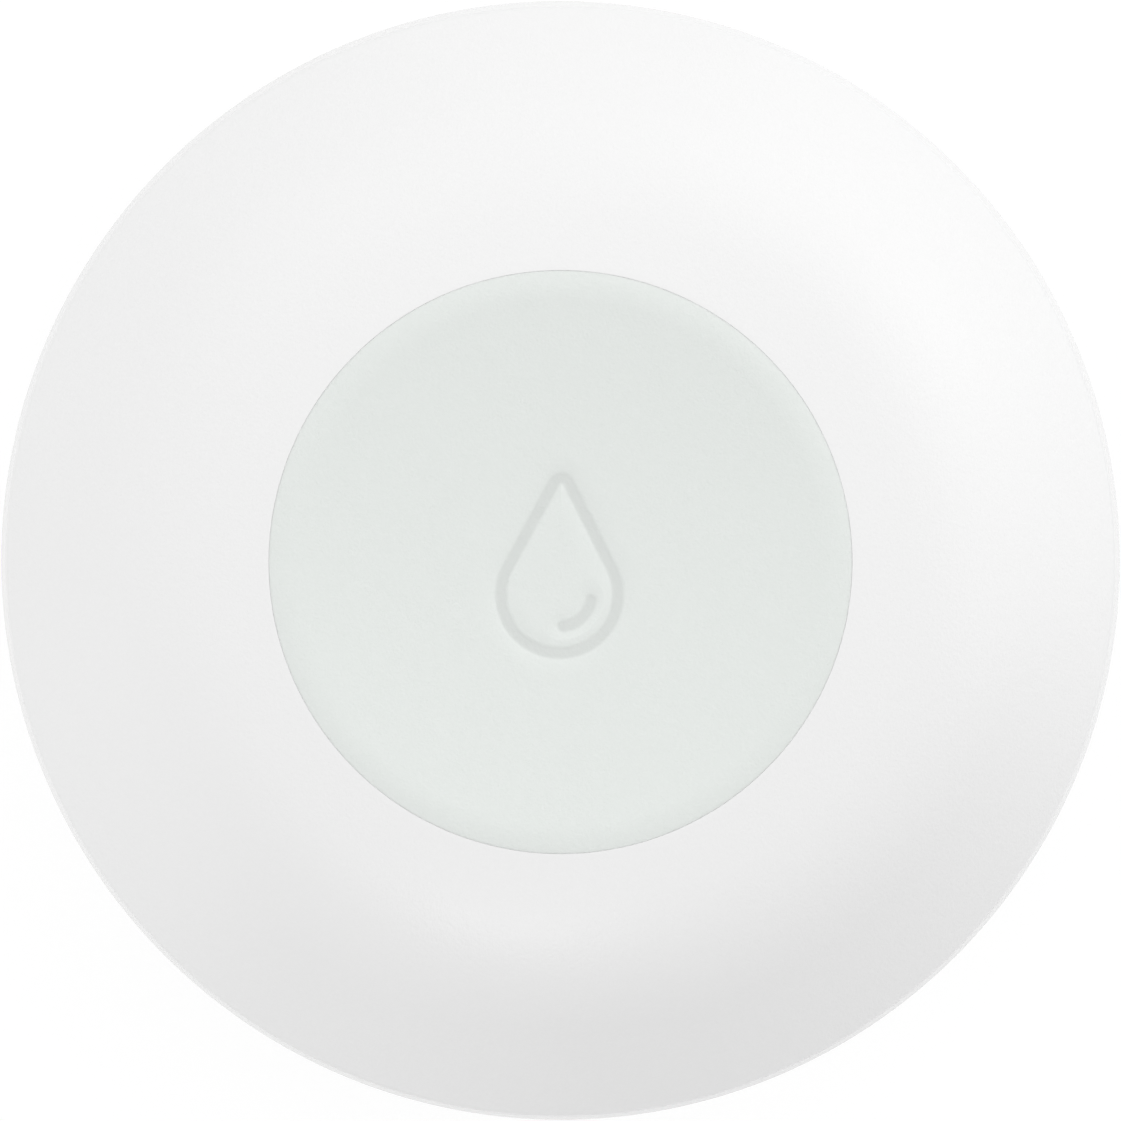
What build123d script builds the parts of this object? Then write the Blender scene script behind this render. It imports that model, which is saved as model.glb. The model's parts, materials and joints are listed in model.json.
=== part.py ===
from build123d import *
import os
from math import cos, hypot, radians, sin, tan

# A floor-standing water-leak alarm: a round casing in two halves, a dished push button in
# the middle of its top, and four metal probe feet under it.
# Millimetres. +Z is up, +Y is the point of the drop on the button.
# The origin is on the floor, under the centre of the casing.

# Clearances
running_clearance = 0.05        # a plunger or a screw in its hole, all round
seat_gap = 0.05                 # between flat faces that meet but belong to pieces that part
free_clearance = 0.4            # round a boss that passes through a notch
button_gap = 0.1                # between the button and the edge of its opening

# Casing, outside
crease_inset = 0.68             # how far the shell's wall leans in between its foot and its crease
shadow_gap = 0.4                # open line between the shell and the base plate
button_radius = 16.82
rim_run = 2.93                  # from the button's opening out to the shoulder, seen from above
flank_run = 4.62                # width of the straight flank, seen from above
rim_slope = 9.5                 # degrees below level at the edge of the button's opening
shoulder_slope = 12.5           # degrees, at the shoulder's start
flank_slope = 37.0              # degrees, on the straight flank
crease_round = 0.18
rim_round = 0.15
foot_round = 0.2

# Casing, inside
shell_thickness = 1.8
collar_thickness = 1.4          # tube that hangs round the button's well
ledge_width = 2.5               # ring in the well that the button seal lies on
ledge_thickness = 1.0

# Base plate; its wall clears the corners of the battery holder, and the shell fits round it
holder_room = 0.92
probe_height = 1.0              # how far the probe feet hold the base off the floor
base_height = 7.0
base_step = 0.2                 # the base's top edge stands this far inside the shell's foot
base_taper = 2.1                # how far its wall draws in towards the floor
base_round = 1.5
floor_thickness = 1.8
lip_thickness = 1.7
lip_height = 2.8                # lip that reaches up inside the shell
lip_clearance = 0.45            # between the lip and the shell's foot, and round the bosses
lip_lead_in = 0.3               # slope on the lip's top edge
seal_cord = 0.9                 # thickness of the perimeter seal
seal_squeeze_room = 0.05        # between the seal and the bottom of its groove
seal_rise = 1.6                 # from the base's top edge to the middle of the seal
panel_length = 26.0             # bare recessed panel under the base
panel_width = 15.0
panel_depth = 0.2
panel_corner = 2.0

# Base screws
base_screw_angle = 35.0         # degrees between the X axis and a screw
boss_gap = 0.3                  # between the bosses and the base's wall
screw_radius = 1.25
screw_length = 9.5
screw_head_radius = 2.2
screw_head_height = 1.6
screw_head_sunk = 0.6           # the head lies this far above the underside
screw_head_round = 0.5
screw_tip = 1.0
screw_tip_bevel = 0.6
boss_radius = 2.5               # bosses in the shell that take these screws
turret_radius = 3.1             # turrets on the base that carry the heads
turret_height = 3.7             # above the base's floor
screw_hole_spare = 0.6          # hole left past the screw's tip
drive_width = 0.6               # cross recess
drive_length = 2.6
drive_depth = 0.9

# Probe feet
probe_gap = 0.5                 # between the springs over the feet and the battery holder
probe_wall_gap = 0.95           # between the washers on the feet and the base's wall
probe_head_radius = 3.0
probe_shaft_radius = 1.2
probe_head_round = 0.35
probe_pip_length = 1.0          # shaft that stands inside the spring
gasket_thickness = 0.6
gasket_radius = 2.9
gasket_room = 0.3               # round a gasket in its recess
washer_radius = 2.6
washer_thickness = 0.45
spring_inner_radius = 1.35
spring_wire = 0.5

# Battery cells, size AAA, and their holder
cell_radius = 5.25
cell_length = 44.5
cell_nub_radius = 1.9
cell_nub_length = 0.8
cell_edge = 0.4
cell_spacing = 0.4              # between the two cells
cell_floor_gap = 0.6            # between the cells and the base's floor
cell_clearance = 0.15           # between a cell and the holder
contact_thickness = 0.3
contact_spring_length = 3.0
contact_spring_wide = 3.6
contact_spring_narrow = 1.8
contact_spring_wire = 0.5
contact_width = 7.6
contact_below_axis = 3.8        # how far the contacts reach below the cells' axis
contact_side_gap = 0.2          # between a contact and the holder's back
holder_wall = 0.8
holder_end_wall = 1.0
holder_side_below_axis = 2.0    # how far the side walls reach below the cells' axis
holder_floor_gap = 1.4          # between the holder's end walls and the base's floor
holder_notch_length = 20.0      # where fingers reach the cells
holder_notch_depth = 4.0
holder_rib_width = 1.2
holder_rib_depth = 2.6
holder_peg_radius = 0.8
holder_peg_inset = 5.0          # from the inside of the end wall to a peg

# Circuit board
board_clearance = 1.8           # between the board's top edge and the shell
board_thickness = 1.0
board_screw_inset = 5.5         # from the board's edge, along X
board_screw_gap = 0.4           # between a screw's head and the end of the sounder, along Y
board_screw_radius = 1.0
board_screw_length = 4.2
board_screw_head_radius = 1.8
board_screw_head_height = 1.3
board_screw_head_round = 0.4
board_drive_width = 0.5
board_drive_length = 2.0
board_drive_depth = 0.7
post_radius = 2.2
post_hole_spare = 0.4
peg_tip = 0.5                   # peg that stands out past the board

# Button
cap_dish = 1.0                  # how far the cap's middle lies under its crest
cap_roll = 0.7                  # round edge of the cap
cap_thickness = 1.0             # at the middle
cap_skirt = 0.8
plate_thickness = 0.8
plate_boss_radius = 2.5
plate_boss_height = 0.4
hook_count = 3
hook_width = 4.0
hook_thickness = 1.1
hook_inset = 0.4                # between a hook's stem and the ledge
barb_reach = 1.1
barb_height = 0.8
seal_ring_thickness = 1.6
seal_ring_width = 1.8
button_travel = 0.5

# Drop outline pressed into the cap
drop_radius = 3.361             # round part, middle of the groove
drop_below_centre = 1.956       # its centre, under the button's centre
drop_half_angle = 27.3          # degrees between a straight side and the upright
drop_tip_radius = 0.48
groove_width = 0.64
groove_depth = 0.28
glint_radius = 1.84             # short arc inside the drop
glint_start = -82.0             # degrees
glint_turn = 73.0
glint_width = 0.62

# Test switch
switch_side = 6.0
switch_height = 3.3             # body
switch_total_height = 4.0       # with the plunger
plunger_radius = 1.7
plunger_depth = 1.1             # inside the switch's body
leg_width = 0.7
leg_reach = 1.0
leg_thickness = 0.25
leg_spacing = 4.5

# Sounder, on the right of the battery holder
sounder_gap = 0.65
sounder_radius = 6.0
sounder_height = 9.5
sounder_wall = 0.7
sounder_port_radius = 1.2
diaphragm_thickness = 0.4
diaphragm_depth = 3.0           # from the sounder's face to its diaphragm
sounder_gasket_wall = 2.2
membrane_radius = 5.0
membrane_thickness = 0.2
membrane_recess = 0.3
membrane_room = 0.1
sound_hole_radius = 0.6
sound_hole_count = 6
sound_hole_circle = 2.9

# Small parts on the board
lamp_length = 3.4
lamp_width = 2.8
lamp_height = 1.8
lamp_y = -8.0
chip_side = 6.0
chip_height = 0.9
chip_x = -9.0
chip_y = 3.0
capacitor_length = 3.2
capacitor_width = 1.8
capacitor_height = 1.7
capacitor_x = 9.5
capacitor_spacing = 4.0
capacitor_count = 3
shield_length = 12.0
shield_width = 10.0
shield_height = 2.0
shield_gap = 0.35               # between the shield and the battery holder
shield_round = 0.3
antenna_length = 7.0
antenna_width = 2.0
antenna_height = 1.2
antenna_inset = 1.6             # from the board's edge

# Heights, from the floor up
base_z = probe_height
floor_z = base_z + floor_thickness
base_top_z = base_z + base_height
lip_top_z = base_top_z + lip_height
shell_z = base_top_z + shadow_gap
turret_top_z = floor_z + turret_height
boss_z = turret_top_z + seat_gap
screw_seat_z = base_z + screw_head_sunk + screw_head_height
cell_z = floor_z + cell_floor_gap + cell_radius
holder_back_z = cell_z + cell_radius + cell_clearance
board_z = holder_back_z + holder_wall
board_top_z = board_z + board_thickness
plunger_top_z = board_top_z + switch_total_height
plate_z = plunger_top_z + seat_gap + plate_boss_height
cap_under_z = plate_z + plate_thickness
rim_z = cap_under_z + cap_thickness + cap_dish
ledge_z = plate_z - seal_ring_thickness
ledge_under_z = ledge_z - ledge_thickness

# Battery holder and cells
cell_x = cell_radius + cell_spacing / 2
end_y = (cell_length + contact_spring_length) / 2 + contact_thickness
holder_inner_x = cell_x + cell_radius + cell_clearance
holder_x = holder_inner_x + holder_wall
holder_y = end_y + holder_end_wall

# Radii, from the holder's corners out
inner_base_radius = hypot(holder_x, holder_y) + holder_room
lip_radius = inner_base_radius + lip_thickness
shell_foot_radius = lip_radius + lip_clearance
casing_radius = shell_foot_radius + shell_thickness
base_radius = casing_radius - base_step
crease_radius = casing_radius - crease_inset
flank_radius = crease_radius - flank_run
opening_radius = button_radius + button_gap
shoulder_radius = opening_radius + rim_run
collar_radius = opening_radius + collar_thickness
ledge_radius = opening_radius - ledge_width

# The crown is two arcs and a straight flank, joined smoothly: the first arc turns from the
# slope at the rim to the shoulder's, the second from there to the flank's.
rim_sine, rim_cosine = sin(radians(rim_slope)), cos(radians(rim_slope))
shoulder_sine, shoulder_cosine = sin(radians(shoulder_slope)), cos(radians(shoulder_slope))
flank_sine, flank_cosine = sin(radians(flank_slope)), cos(radians(flank_slope))
flank_fall = tan(radians(flank_slope))
rim_arc_radius = (shoulder_radius - opening_radius) / (shoulder_sine - rim_sine)
shoulder_arc_radius = (flank_radius - shoulder_radius) / (flank_sine - shoulder_sine)
shoulder_z = rim_z - rim_arc_radius * (rim_cosine - shoulder_cosine)
flank_z = shoulder_z - shoulder_arc_radius * (shoulder_cosine - flank_cosine)
crease_z = flank_z - (crease_radius - flank_radius) * flank_fall
wall_lean = crease_inset / (crease_z - shell_z)

# The inside of the shell runs at the shell's thickness under its skin
inner_flank_radius = flank_radius - shell_thickness * flank_sine
inner_flank_z = flank_z - shell_thickness * flank_cosine
board_radius = inner_flank_radius + (inner_flank_z - board_top_z) / flank_fall - board_clearance

# Places seen from above
boss_ring = inner_base_radius - boss_gap - boss_radius
base_screw_x = boss_ring * cos(radians(base_screw_angle))
base_screw_y = boss_ring * sin(radians(base_screw_angle))
probe_x = holder_x + probe_gap + spring_inner_radius + spring_wire
probe_ring = inner_base_radius - probe_wall_gap - washer_radius
probe_y = (probe_ring ** 2 - probe_x ** 2) ** 0.5
sounder_x = holder_x + sounder_gap + sounder_radius
shield_x = -(holder_x + shield_gap + shield_length / 2)
antenna_x = -(board_radius - antenna_inset - antenna_width / 2)
board_screw_x = board_radius - board_screw_inset
board_screw_y = sounder_radius + board_screw_gap + board_screw_head_radius
holder_peg_y = end_y - holder_peg_inset


def four_corners(x, y):
    """The four places at these distances from the middle."""
    return [(-x, -y), (-x, y), (x, -y), (x, y)]


base_screw_places = four_corners(base_screw_x, base_screw_y)
board_screw_places = four_corners(board_screw_x, board_screw_y)
probe_places = four_corners(probe_x, probe_y)
peg_places = [(0, -holder_peg_y), (0, holder_peg_y)]


def crown_point(slope, depth=0.0):
    """Radius and height of the crown where it falls at this slope, at a depth under its skin."""
    sine, cosine = sin(radians(slope)), cos(radians(slope))
    if slope <= shoulder_slope:
        radius = opening_radius + rim_arc_radius * (sine - rim_sine)
        height = rim_z - rim_arc_radius * (rim_cosine - cosine)
    else:
        radius = shoulder_radius + shoulder_arc_radius * (sine - shoulder_sine)
        height = shoulder_z - shoulder_arc_radius * (shoulder_cosine - cosine)
    return radius - depth * sine, height - depth * cosine


def shell_wall(height):
    """Radius of the inside of the shell's wall at a height; it leans in with height."""
    return shell_foot_radius - wall_lean * (height - shell_z)


def inner_crease():
    """Where the inside of the flank meets the inside of the wall."""
    flank_rise = inner_flank_z - shell_z + inner_flank_radius * flank_fall
    radius = (shell_foot_radius - wall_lean * flank_rise) / (1 - wall_lean * flank_fall)
    return radius, inner_flank_z - (radius - inner_flank_radius) * flank_fall


def draw_crown(depth=0.0):
    """The two arcs of the crown, from the rim to the flank, at a depth under its skin."""
    rim_middle = (rim_slope + shoulder_slope) / 2
    shoulder_middle = (shoulder_slope + flank_slope) / 2
    rim_end = crown_point(rim_slope, depth)
    shoulder = crown_point(shoulder_slope, depth)
    flank_end = crown_point(flank_slope, depth)
    ThreePointArc(rim_end, crown_point(rim_middle, depth), shoulder)
    ThreePointArc(shoulder, crown_point(shoulder_middle, depth), flank_end)


def save(piece, name):
    """Label a finished piece and write it under its name."""
    piece.part.label = name
    export_step(piece.part, f"parts/{name}.step")


os.makedirs("parts", exist_ok=True)

# Upper shell: the hollow under the crown, less the collar, bosses and posts that stand in it
with BuildPart() as hollow:
    with BuildSketch(Plane.XZ):
        with BuildLine():
            draw_crown(shell_thickness)
            Polyline(
                crown_point(flank_slope, shell_thickness), inner_crease(), (shell_foot_radius, shell_z),
                (0, shell_z), (0, crown_point(rim_slope, shell_thickness)[1]),
                crown_point(rim_slope, shell_thickness))
        make_face()
    revolve(axis=Axis.Z)
    with BuildSketch(Plane.XY.offset(ledge_under_z)):
        Circle(collar_radius)
    extrude(amount=rim_z - ledge_under_z, mode=Mode.SUBTRACT)
    with BuildSketch(Plane.XY.offset(board_top_z)):
        with Locations(*board_screw_places):
            Circle(post_radius)
    extrude(amount=rim_z - board_top_z, mode=Mode.SUBTRACT)
    with BuildSketch(Plane.XY.offset(shell_z)):
        with Locations(*base_screw_places):
            Circle(boss_radius)
    extrude(amount=rim_z - shell_z, mode=Mode.SUBTRACT)

with BuildPart() as top_shell:
    with BuildSketch(Plane.XZ):
        with BuildLine():
            draw_crown()
            Polyline(
                crown_point(flank_slope), (crease_radius, crease_z), (casing_radius, shell_z),
                (0, shell_z), (0, rim_z), crown_point(rim_slope))
        make_face()
        crease = vertices().sort_by_distance((crease_radius, crease_z))[0]
        fillet(crease, crease_round)
        foot = vertices().sort_by_distance((casing_radius, shell_z))[0]
        fillet(foot, foot_round)
    revolve(axis=Axis.Z)
    add(hollow.part, mode=Mode.SUBTRACT)
    with BuildSketch(Plane.XY.offset(ledge_z)):
        Circle(opening_radius)
    extrude(amount=rim_z - ledge_z + rim_round, mode=Mode.SUBTRACT)
    with BuildSketch(Plane.XY.offset(ledge_under_z)):
        Circle(ledge_radius)
    extrude(amount=ledge_thickness, mode=Mode.SUBTRACT)
    with BuildSketch(Plane.XY.offset(boss_z)):
        with Locations(*base_screw_places):
            Circle(boss_radius)
    extrude(amount=shell_z - boss_z)
    with BuildSketch(Plane.XY.offset(boss_z)):
        with Locations(*base_screw_places):
            Circle(screw_radius + running_clearance)
    extrude(amount=screw_seat_z + screw_length + screw_hole_spare - boss_z, mode=Mode.SUBTRACT)
    with BuildSketch(Plane.XY.offset(board_top_z)):
        with Locations(*board_screw_places):
            Circle(board_screw_radius + running_clearance)
    extrude(amount=board_screw_length - board_thickness + post_hole_spare, mode=Mode.SUBTRACT)
    rim = top_shell.edges().filter_by(GeomType.CIRCLE).sort_by(Axis.Z)[-1]
    fillet(rim, rim_round)
save(top_shell, "top_shell")

# Base plate: floor, tapered wall, lip with the groove of the perimeter seal
seal_z = base_top_z + seal_rise
seal_ring_radius = shell_wall(seal_z + seal_cord / 2) - running_clearance - seal_cord / 2
groove_radius = seal_ring_radius - seal_cord / 2 - seal_squeeze_room
groove_half_height = seal_cord / 2 + seal_squeeze_room
with BuildPart() as base_plate:
    with BuildSketch(Plane.XZ):
        with BuildLine():
            Polyline(
                (0, base_z), (base_radius - base_taper, base_z), (base_radius, base_top_z),
                (lip_radius, base_top_z), (lip_radius, lip_top_z), (inner_base_radius, lip_top_z),
                (inner_base_radius, floor_z), (0, floor_z), close=True)
        make_face()
        corner = vertices().sort_by_distance((base_radius - base_taper, base_z))[0]
        fillet(corner, base_round)
        edge = vertices().sort_by_distance((base_radius, base_top_z))[0]
        fillet(edge, foot_round)
        lead_in = vertices().sort_by_distance((lip_radius, lip_top_z))[0]
        chamfer(lead_in, lip_lead_in)
        with Locations((lip_radius, seal_z)):
            Rectangle(2 * (lip_radius - groove_radius), 2 * groove_half_height, mode=Mode.SUBTRACT)
    revolve(axis=Axis.Z)
    with BuildSketch(Plane.XY.offset(floor_z)):
        with Locations(*base_screw_places):
            Circle(turret_radius)
    extrude(amount=turret_height)
    with BuildSketch(Plane.XY.offset(turret_top_z)):
        with Locations(*base_screw_places):
            Circle(boss_radius + lip_clearance)
    extrude(amount=lip_top_z - turret_top_z, mode=Mode.SUBTRACT)
    with BuildSketch(Plane.XY.offset(base_z)):
        with Locations(*base_screw_places):
            Circle(screw_radius + running_clearance)
        with Locations(*probe_places):
            Circle(probe_shaft_radius + running_clearance)
        with Locations((sounder_x, 0)):
            Circle(sound_hole_radius)
            with PolarLocations(sound_hole_circle, sound_hole_count):
                Circle(sound_hole_radius)
    extrude(amount=floor_thickness + turret_height, mode=Mode.SUBTRACT)
    with BuildSketch(Plane.XY.offset(base_z)):
        with Locations(*base_screw_places):
            Circle(screw_head_radius + gasket_room)
    extrude(amount=screw_head_sunk + screw_head_height, mode=Mode.SUBTRACT)
    with BuildSketch(Plane.XY.offset(base_z)):
        with Locations(*probe_places):
            Circle(gasket_radius + gasket_room)
    extrude(amount=gasket_thickness, mode=Mode.SUBTRACT)
    with BuildSketch(Plane.XY.offset(base_z)):
        RectangleRounded(panel_width, panel_length, panel_corner)
    extrude(amount=panel_depth, mode=Mode.SUBTRACT)
    with BuildSketch(Plane.XY.offset(floor_z - membrane_recess)):
        with Locations((sounder_x, 0)):
            Circle(membrane_radius + membrane_room)
    extrude(amount=membrane_recess, mode=Mode.SUBTRACT)
save(base_plate, "base_plate")

with BuildPart() as perimeter_seal:
    with BuildSketch(Plane.XZ):
        with Locations((seal_ring_radius, seal_z)):
            Circle(seal_cord / 2)
    revolve(axis=Axis.Z)
save(perimeter_seal, "perimeter_seal")

# Base screws, heads down
with BuildPart() as base_screws:
    with BuildSketch(Plane.XY.offset(base_z + screw_head_sunk)):
        with Locations(*base_screw_places):
            Circle(screw_head_radius)
    extrude(amount=screw_head_height)
    fillet(base_screws.edges().group_by(Axis.Z)[0], screw_head_round)
    with BuildSketch(Plane.XY.offset(screw_seat_z)):
        with Locations(*base_screw_places):
            Circle(screw_radius)
    extrude(amount=screw_length)
    chamfer(base_screws.edges().group_by(Axis.Z)[-1], screw_tip, screw_tip_bevel)
    with BuildSketch(Plane.XY.offset(base_z + screw_head_sunk)):
        with Locations(*base_screw_places):
            Rectangle(drive_length, drive_width)
            Rectangle(drive_width, drive_length)
    extrude(amount=drive_depth, mode=Mode.SUBTRACT)
save(base_screws, "base_screws")

# Probe feet: flat metal heads that stand on the floor, shafts through the base
with BuildPart() as probe_feet:
    with BuildSketch(Plane.XY):
        with Locations(*probe_places):
            Circle(probe_head_radius)
    extrude(amount=probe_height)
    fillet(probe_feet.edges().group_by(Axis.Z)[0], probe_head_round)
    with BuildSketch(Plane.XY.offset(probe_height)):
        with Locations(*probe_places):
            Circle(probe_shaft_radius)
    extrude(amount=floor_thickness + washer_thickness + probe_pip_length)
save(probe_feet, "probe_feet")

with BuildPart() as probe_gaskets:
    with BuildSketch(Plane.XY.offset(base_z)):
        with Locations(*probe_places):
            Circle(gasket_radius)
            Circle(probe_shaft_radius + running_clearance, mode=Mode.SUBTRACT)
    extrude(amount=gasket_thickness)
save(probe_gaskets, "probe_gaskets")

with BuildPart() as probe_washers:
    with BuildSketch(Plane.XY.offset(floor_z)):
        with Locations(*probe_places):
            Circle(washer_radius)
            Circle(probe_shaft_radius + running_clearance, mode=Mode.SUBTRACT)
    extrude(amount=washer_thickness)
save(probe_washers, "probe_washers")

spring_z = floor_z + washer_thickness + seat_gap
with BuildPart() as probe_springs:
    with BuildSketch(Plane.XY.offset(spring_z)):
        with Locations(*probe_places):
            Circle(spring_inner_radius + spring_wire)
            Circle(spring_inner_radius, mode=Mode.SUBTRACT)
    extrude(amount=board_z - spring_z)
save(probe_springs, "probe_springs")

# Circuit board, notched round the bosses
with BuildPart() as circuit_board:
    with BuildSketch(Plane.XY.offset(board_z)):
        Circle(board_radius)
        with Locations(*base_screw_places):
            Circle(boss_radius + free_clearance, mode=Mode.SUBTRACT)
        with Locations(*board_screw_places):
            Circle(board_screw_radius + running_clearance, mode=Mode.SUBTRACT)
        with Locations(*peg_places):
            Circle(holder_peg_radius + running_clearance, mode=Mode.SUBTRACT)
    extrude(amount=board_thickness)
save(circuit_board, "circuit_board")

with BuildPart() as board_screws:
    with BuildSketch(Plane.XY.offset(board_z - board_screw_head_height)):
        with Locations(*board_screw_places):
            Circle(board_screw_head_radius)
    extrude(amount=board_screw_head_height)
    fillet(board_screws.edges().group_by(Axis.Z)[0], board_screw_head_round)
    with BuildSketch(Plane.XY.offset(board_z)):
        with Locations(*board_screw_places):
            Circle(board_screw_radius)
    extrude(amount=board_screw_length)
    with BuildSketch(Plane.XY.offset(board_z - board_screw_head_height)):
        with Locations(*board_screw_places):
            Rectangle(board_drive_length, board_drive_width)
            Rectangle(board_drive_width, board_drive_length)
    extrude(amount=board_drive_depth, mode=Mode.SUBTRACT)
save(board_screws, "board_screws")

# Battery holder: it hangs under the board, open at the bottom, with the cells side by side
holder_side_z = cell_z - holder_side_below_axis
with BuildPart() as battery_holder:
    with BuildSketch(Plane.XY.offset(board_z)):
        Rectangle(2 * holder_x, 2 * holder_y)
    extrude(amount=-holder_wall)
    with BuildSketch(Plane.XY.offset(holder_back_z)):
        Rectangle(2 * holder_x, 2 * holder_y)
        Rectangle(2 * holder_inner_x, 2 * holder_y, mode=Mode.SUBTRACT)
    extrude(amount=holder_side_z - holder_back_z)
    with BuildSketch(Plane.XY.offset(holder_back_z)):
        Rectangle(2 * holder_x, 2 * holder_y)
        Rectangle(2 * holder_x, 2 * end_y, mode=Mode.SUBTRACT)
    extrude(amount=floor_z + holder_floor_gap - holder_back_z)
    with BuildSketch(Plane.XY.offset(holder_side_z)):
        Rectangle(2 * holder_x, holder_notch_length)
    extrude(amount=holder_notch_depth, mode=Mode.SUBTRACT)
    with BuildSketch(Plane.XY.offset(holder_back_z)):
        Rectangle(holder_rib_width, cell_length - 2 * contact_spring_length)
    extrude(amount=-holder_rib_depth)
    with BuildSketch(Plane.XY.offset(board_z)):
        with Locations(*peg_places):
            Circle(holder_peg_radius)
    extrude(amount=board_thickness + peg_tip)
save(battery_holder, "battery_holder")


def cell_profile(heading):
    """Half the outline of a cell that lies along Y; heading is the way its nub points."""
    back = -heading * (end_y - contact_thickness - contact_spring_length)
    nub = heading * (end_y - contact_thickness)
    front = nub - heading * cell_nub_length
    return [
        (0, back), (cell_radius - cell_edge, back), (cell_radius, back + heading * cell_edge),
        (cell_radius, front - heading * cell_edge), (cell_radius - cell_edge, front),
        (cell_nub_radius, front), (cell_nub_radius, nub), (0, nub)]


left_axis = Axis((-cell_x, 0, cell_z), (0, 1, 0))
right_axis = Axis((cell_x, 0, cell_z), (0, 1, 0))
with BuildPart() as battery_left:
    with BuildSketch(Plane((-cell_x, 0, cell_z))):
        with BuildLine():
            Polyline(*cell_profile(1), close=True)
        make_face()
    revolve(axis=left_axis)
save(battery_left, "battery_left")

with BuildPart() as battery_right:
    with BuildSketch(Plane((cell_x, 0, cell_z))):
        with BuildLine():
            Polyline(*cell_profile(-1), close=True)
        make_face()
    revolve(axis=right_axis)
save(battery_right, "battery_right")


def spring_cone(side):
    """Half the outline of a cone-shaped contact spring at the end of the holder on this side."""
    wide_y = side * (end_y - contact_thickness)
    narrow_y = side * (end_y - contact_thickness - contact_spring_length)
    return [
        (contact_spring_wide - contact_spring_wire, wide_y), (contact_spring_wide, wide_y),
        (contact_spring_narrow, narrow_y), (contact_spring_narrow - contact_spring_wire, narrow_y)]


contact_top_z = holder_back_z - contact_side_gap
contact_foot_z = cell_z - contact_below_axis
contact_middle_z = (contact_top_z + contact_foot_z) / 2
contact_height = contact_top_z - contact_foot_z
with BuildPart() as battery_link:
    with BuildSketch(Plane((0, end_y, contact_middle_z), x_dir=(1, 0, 0), z_dir=(0, -1, 0))):
        Rectangle(2 * cell_x + contact_width, contact_height)
    extrude(amount=contact_thickness)
    with BuildSketch(Plane((cell_x, 0, cell_z))):
        with BuildLine():
            Polyline(*spring_cone(1), close=True)
        make_face()
    revolve(axis=right_axis)
save(battery_link, "battery_link")

with BuildPart() as negative_contact:
    with BuildSketch(Plane((-cell_x, -end_y, contact_middle_z), x_dir=(1, 0, 0), z_dir=(0, 1, 0))):
        Rectangle(contact_width, contact_height)
    extrude(amount=contact_thickness)
    with BuildSketch(Plane((-cell_x, 0, cell_z))):
        with BuildLine():
            Polyline(*spring_cone(-1), close=True)
        make_face()
    revolve(axis=left_axis)
save(negative_contact, "negative_contact")

with BuildPart() as positive_contact:
    with BuildSketch(Plane((cell_x, -end_y, contact_middle_z), x_dir=(1, 0, 0), z_dir=(0, 1, 0))):
        Rectangle(contact_width, contact_height)
    extrude(amount=contact_thickness)
save(positive_contact, "positive_contact")

# Button cap: a dished disc with a rolled edge and a short skirt round the button plate
crest_radius = button_radius - cap_roll
dish_arc_radius = (crest_radius ** 2 + cap_dish ** 2) / (2 * cap_dish)
dish_middle = crest_radius / 2
dish_middle_z = rim_z - cap_dish + dish_arc_radius - (dish_arc_radius ** 2 - dish_middle ** 2) ** 0.5
roll_middle = cap_roll * sin(radians(45))
drop_centre = (0, -drop_below_centre)
drop_apex_y = drop_radius / sin(radians(drop_half_angle)) - drop_below_centre
drop_side_x = drop_radius * cos(radians(drop_half_angle))
drop_side_y = drop_radius * sin(radians(drop_half_angle)) - drop_below_centre
tip_reach = drop_tip_radius / tan(radians(drop_half_angle))
tip_x = tip_reach * sin(radians(drop_half_angle))
tip_y = drop_apex_y - tip_reach * cos(radians(drop_half_angle))
tip_top_y = drop_apex_y - drop_tip_radius / sin(radians(drop_half_angle)) + drop_tip_radius


def draw_drop():
    """The middle line of the drop's groove: a circle, two straight sides and a rounded tip."""
    Line((-drop_side_x, drop_side_y), (-tip_x, tip_y))
    ThreePointArc((-tip_x, tip_y), (0, tip_top_y), (tip_x, tip_y))
    Line((tip_x, tip_y), (drop_side_x, drop_side_y))
    foot = (0, -drop_below_centre - drop_radius)
    ThreePointArc((drop_side_x, drop_side_y), foot, (-drop_side_x, drop_side_y))


with BuildPart() as button_cap:
    with BuildSketch(Plane.XZ):
        with BuildLine():
            ThreePointArc((0, rim_z - cap_dish), (dish_middle, dish_middle_z), (crest_radius, rim_z))
            ThreePointArc(
                (crest_radius, rim_z), (crest_radius + roll_middle, rim_z - cap_roll + roll_middle),
                (button_radius, rim_z - cap_roll))
            Polyline(
                (button_radius, rim_z - cap_roll), (button_radius, plate_z),
                (button_radius - cap_skirt, plate_z), (button_radius - cap_skirt, cap_under_z),
                (0, cap_under_z), (0, rim_z - cap_dish))
        make_face()
    revolve(axis=Axis.Z)
    with BuildSketch(Plane.XY.offset(rim_z - cap_dish - groove_depth)):
        with BuildLine():
            draw_drop()
            offset(amount=groove_width / 2)
        make_face()
        with BuildLine():
            draw_drop()
            offset(amount=-groove_width / 2)
        make_face(mode=Mode.SUBTRACT)
        with BuildLine(mode=Mode.PRIVATE) as glint:
            CenterArc(drop_centre, glint_radius, glint_start, glint_turn)
        SlotArc(glint.edges()[0], glint_width)
    extrude(amount=cap_dish, mode=Mode.SUBTRACT)
save(button_cap, "button_cap")

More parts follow.
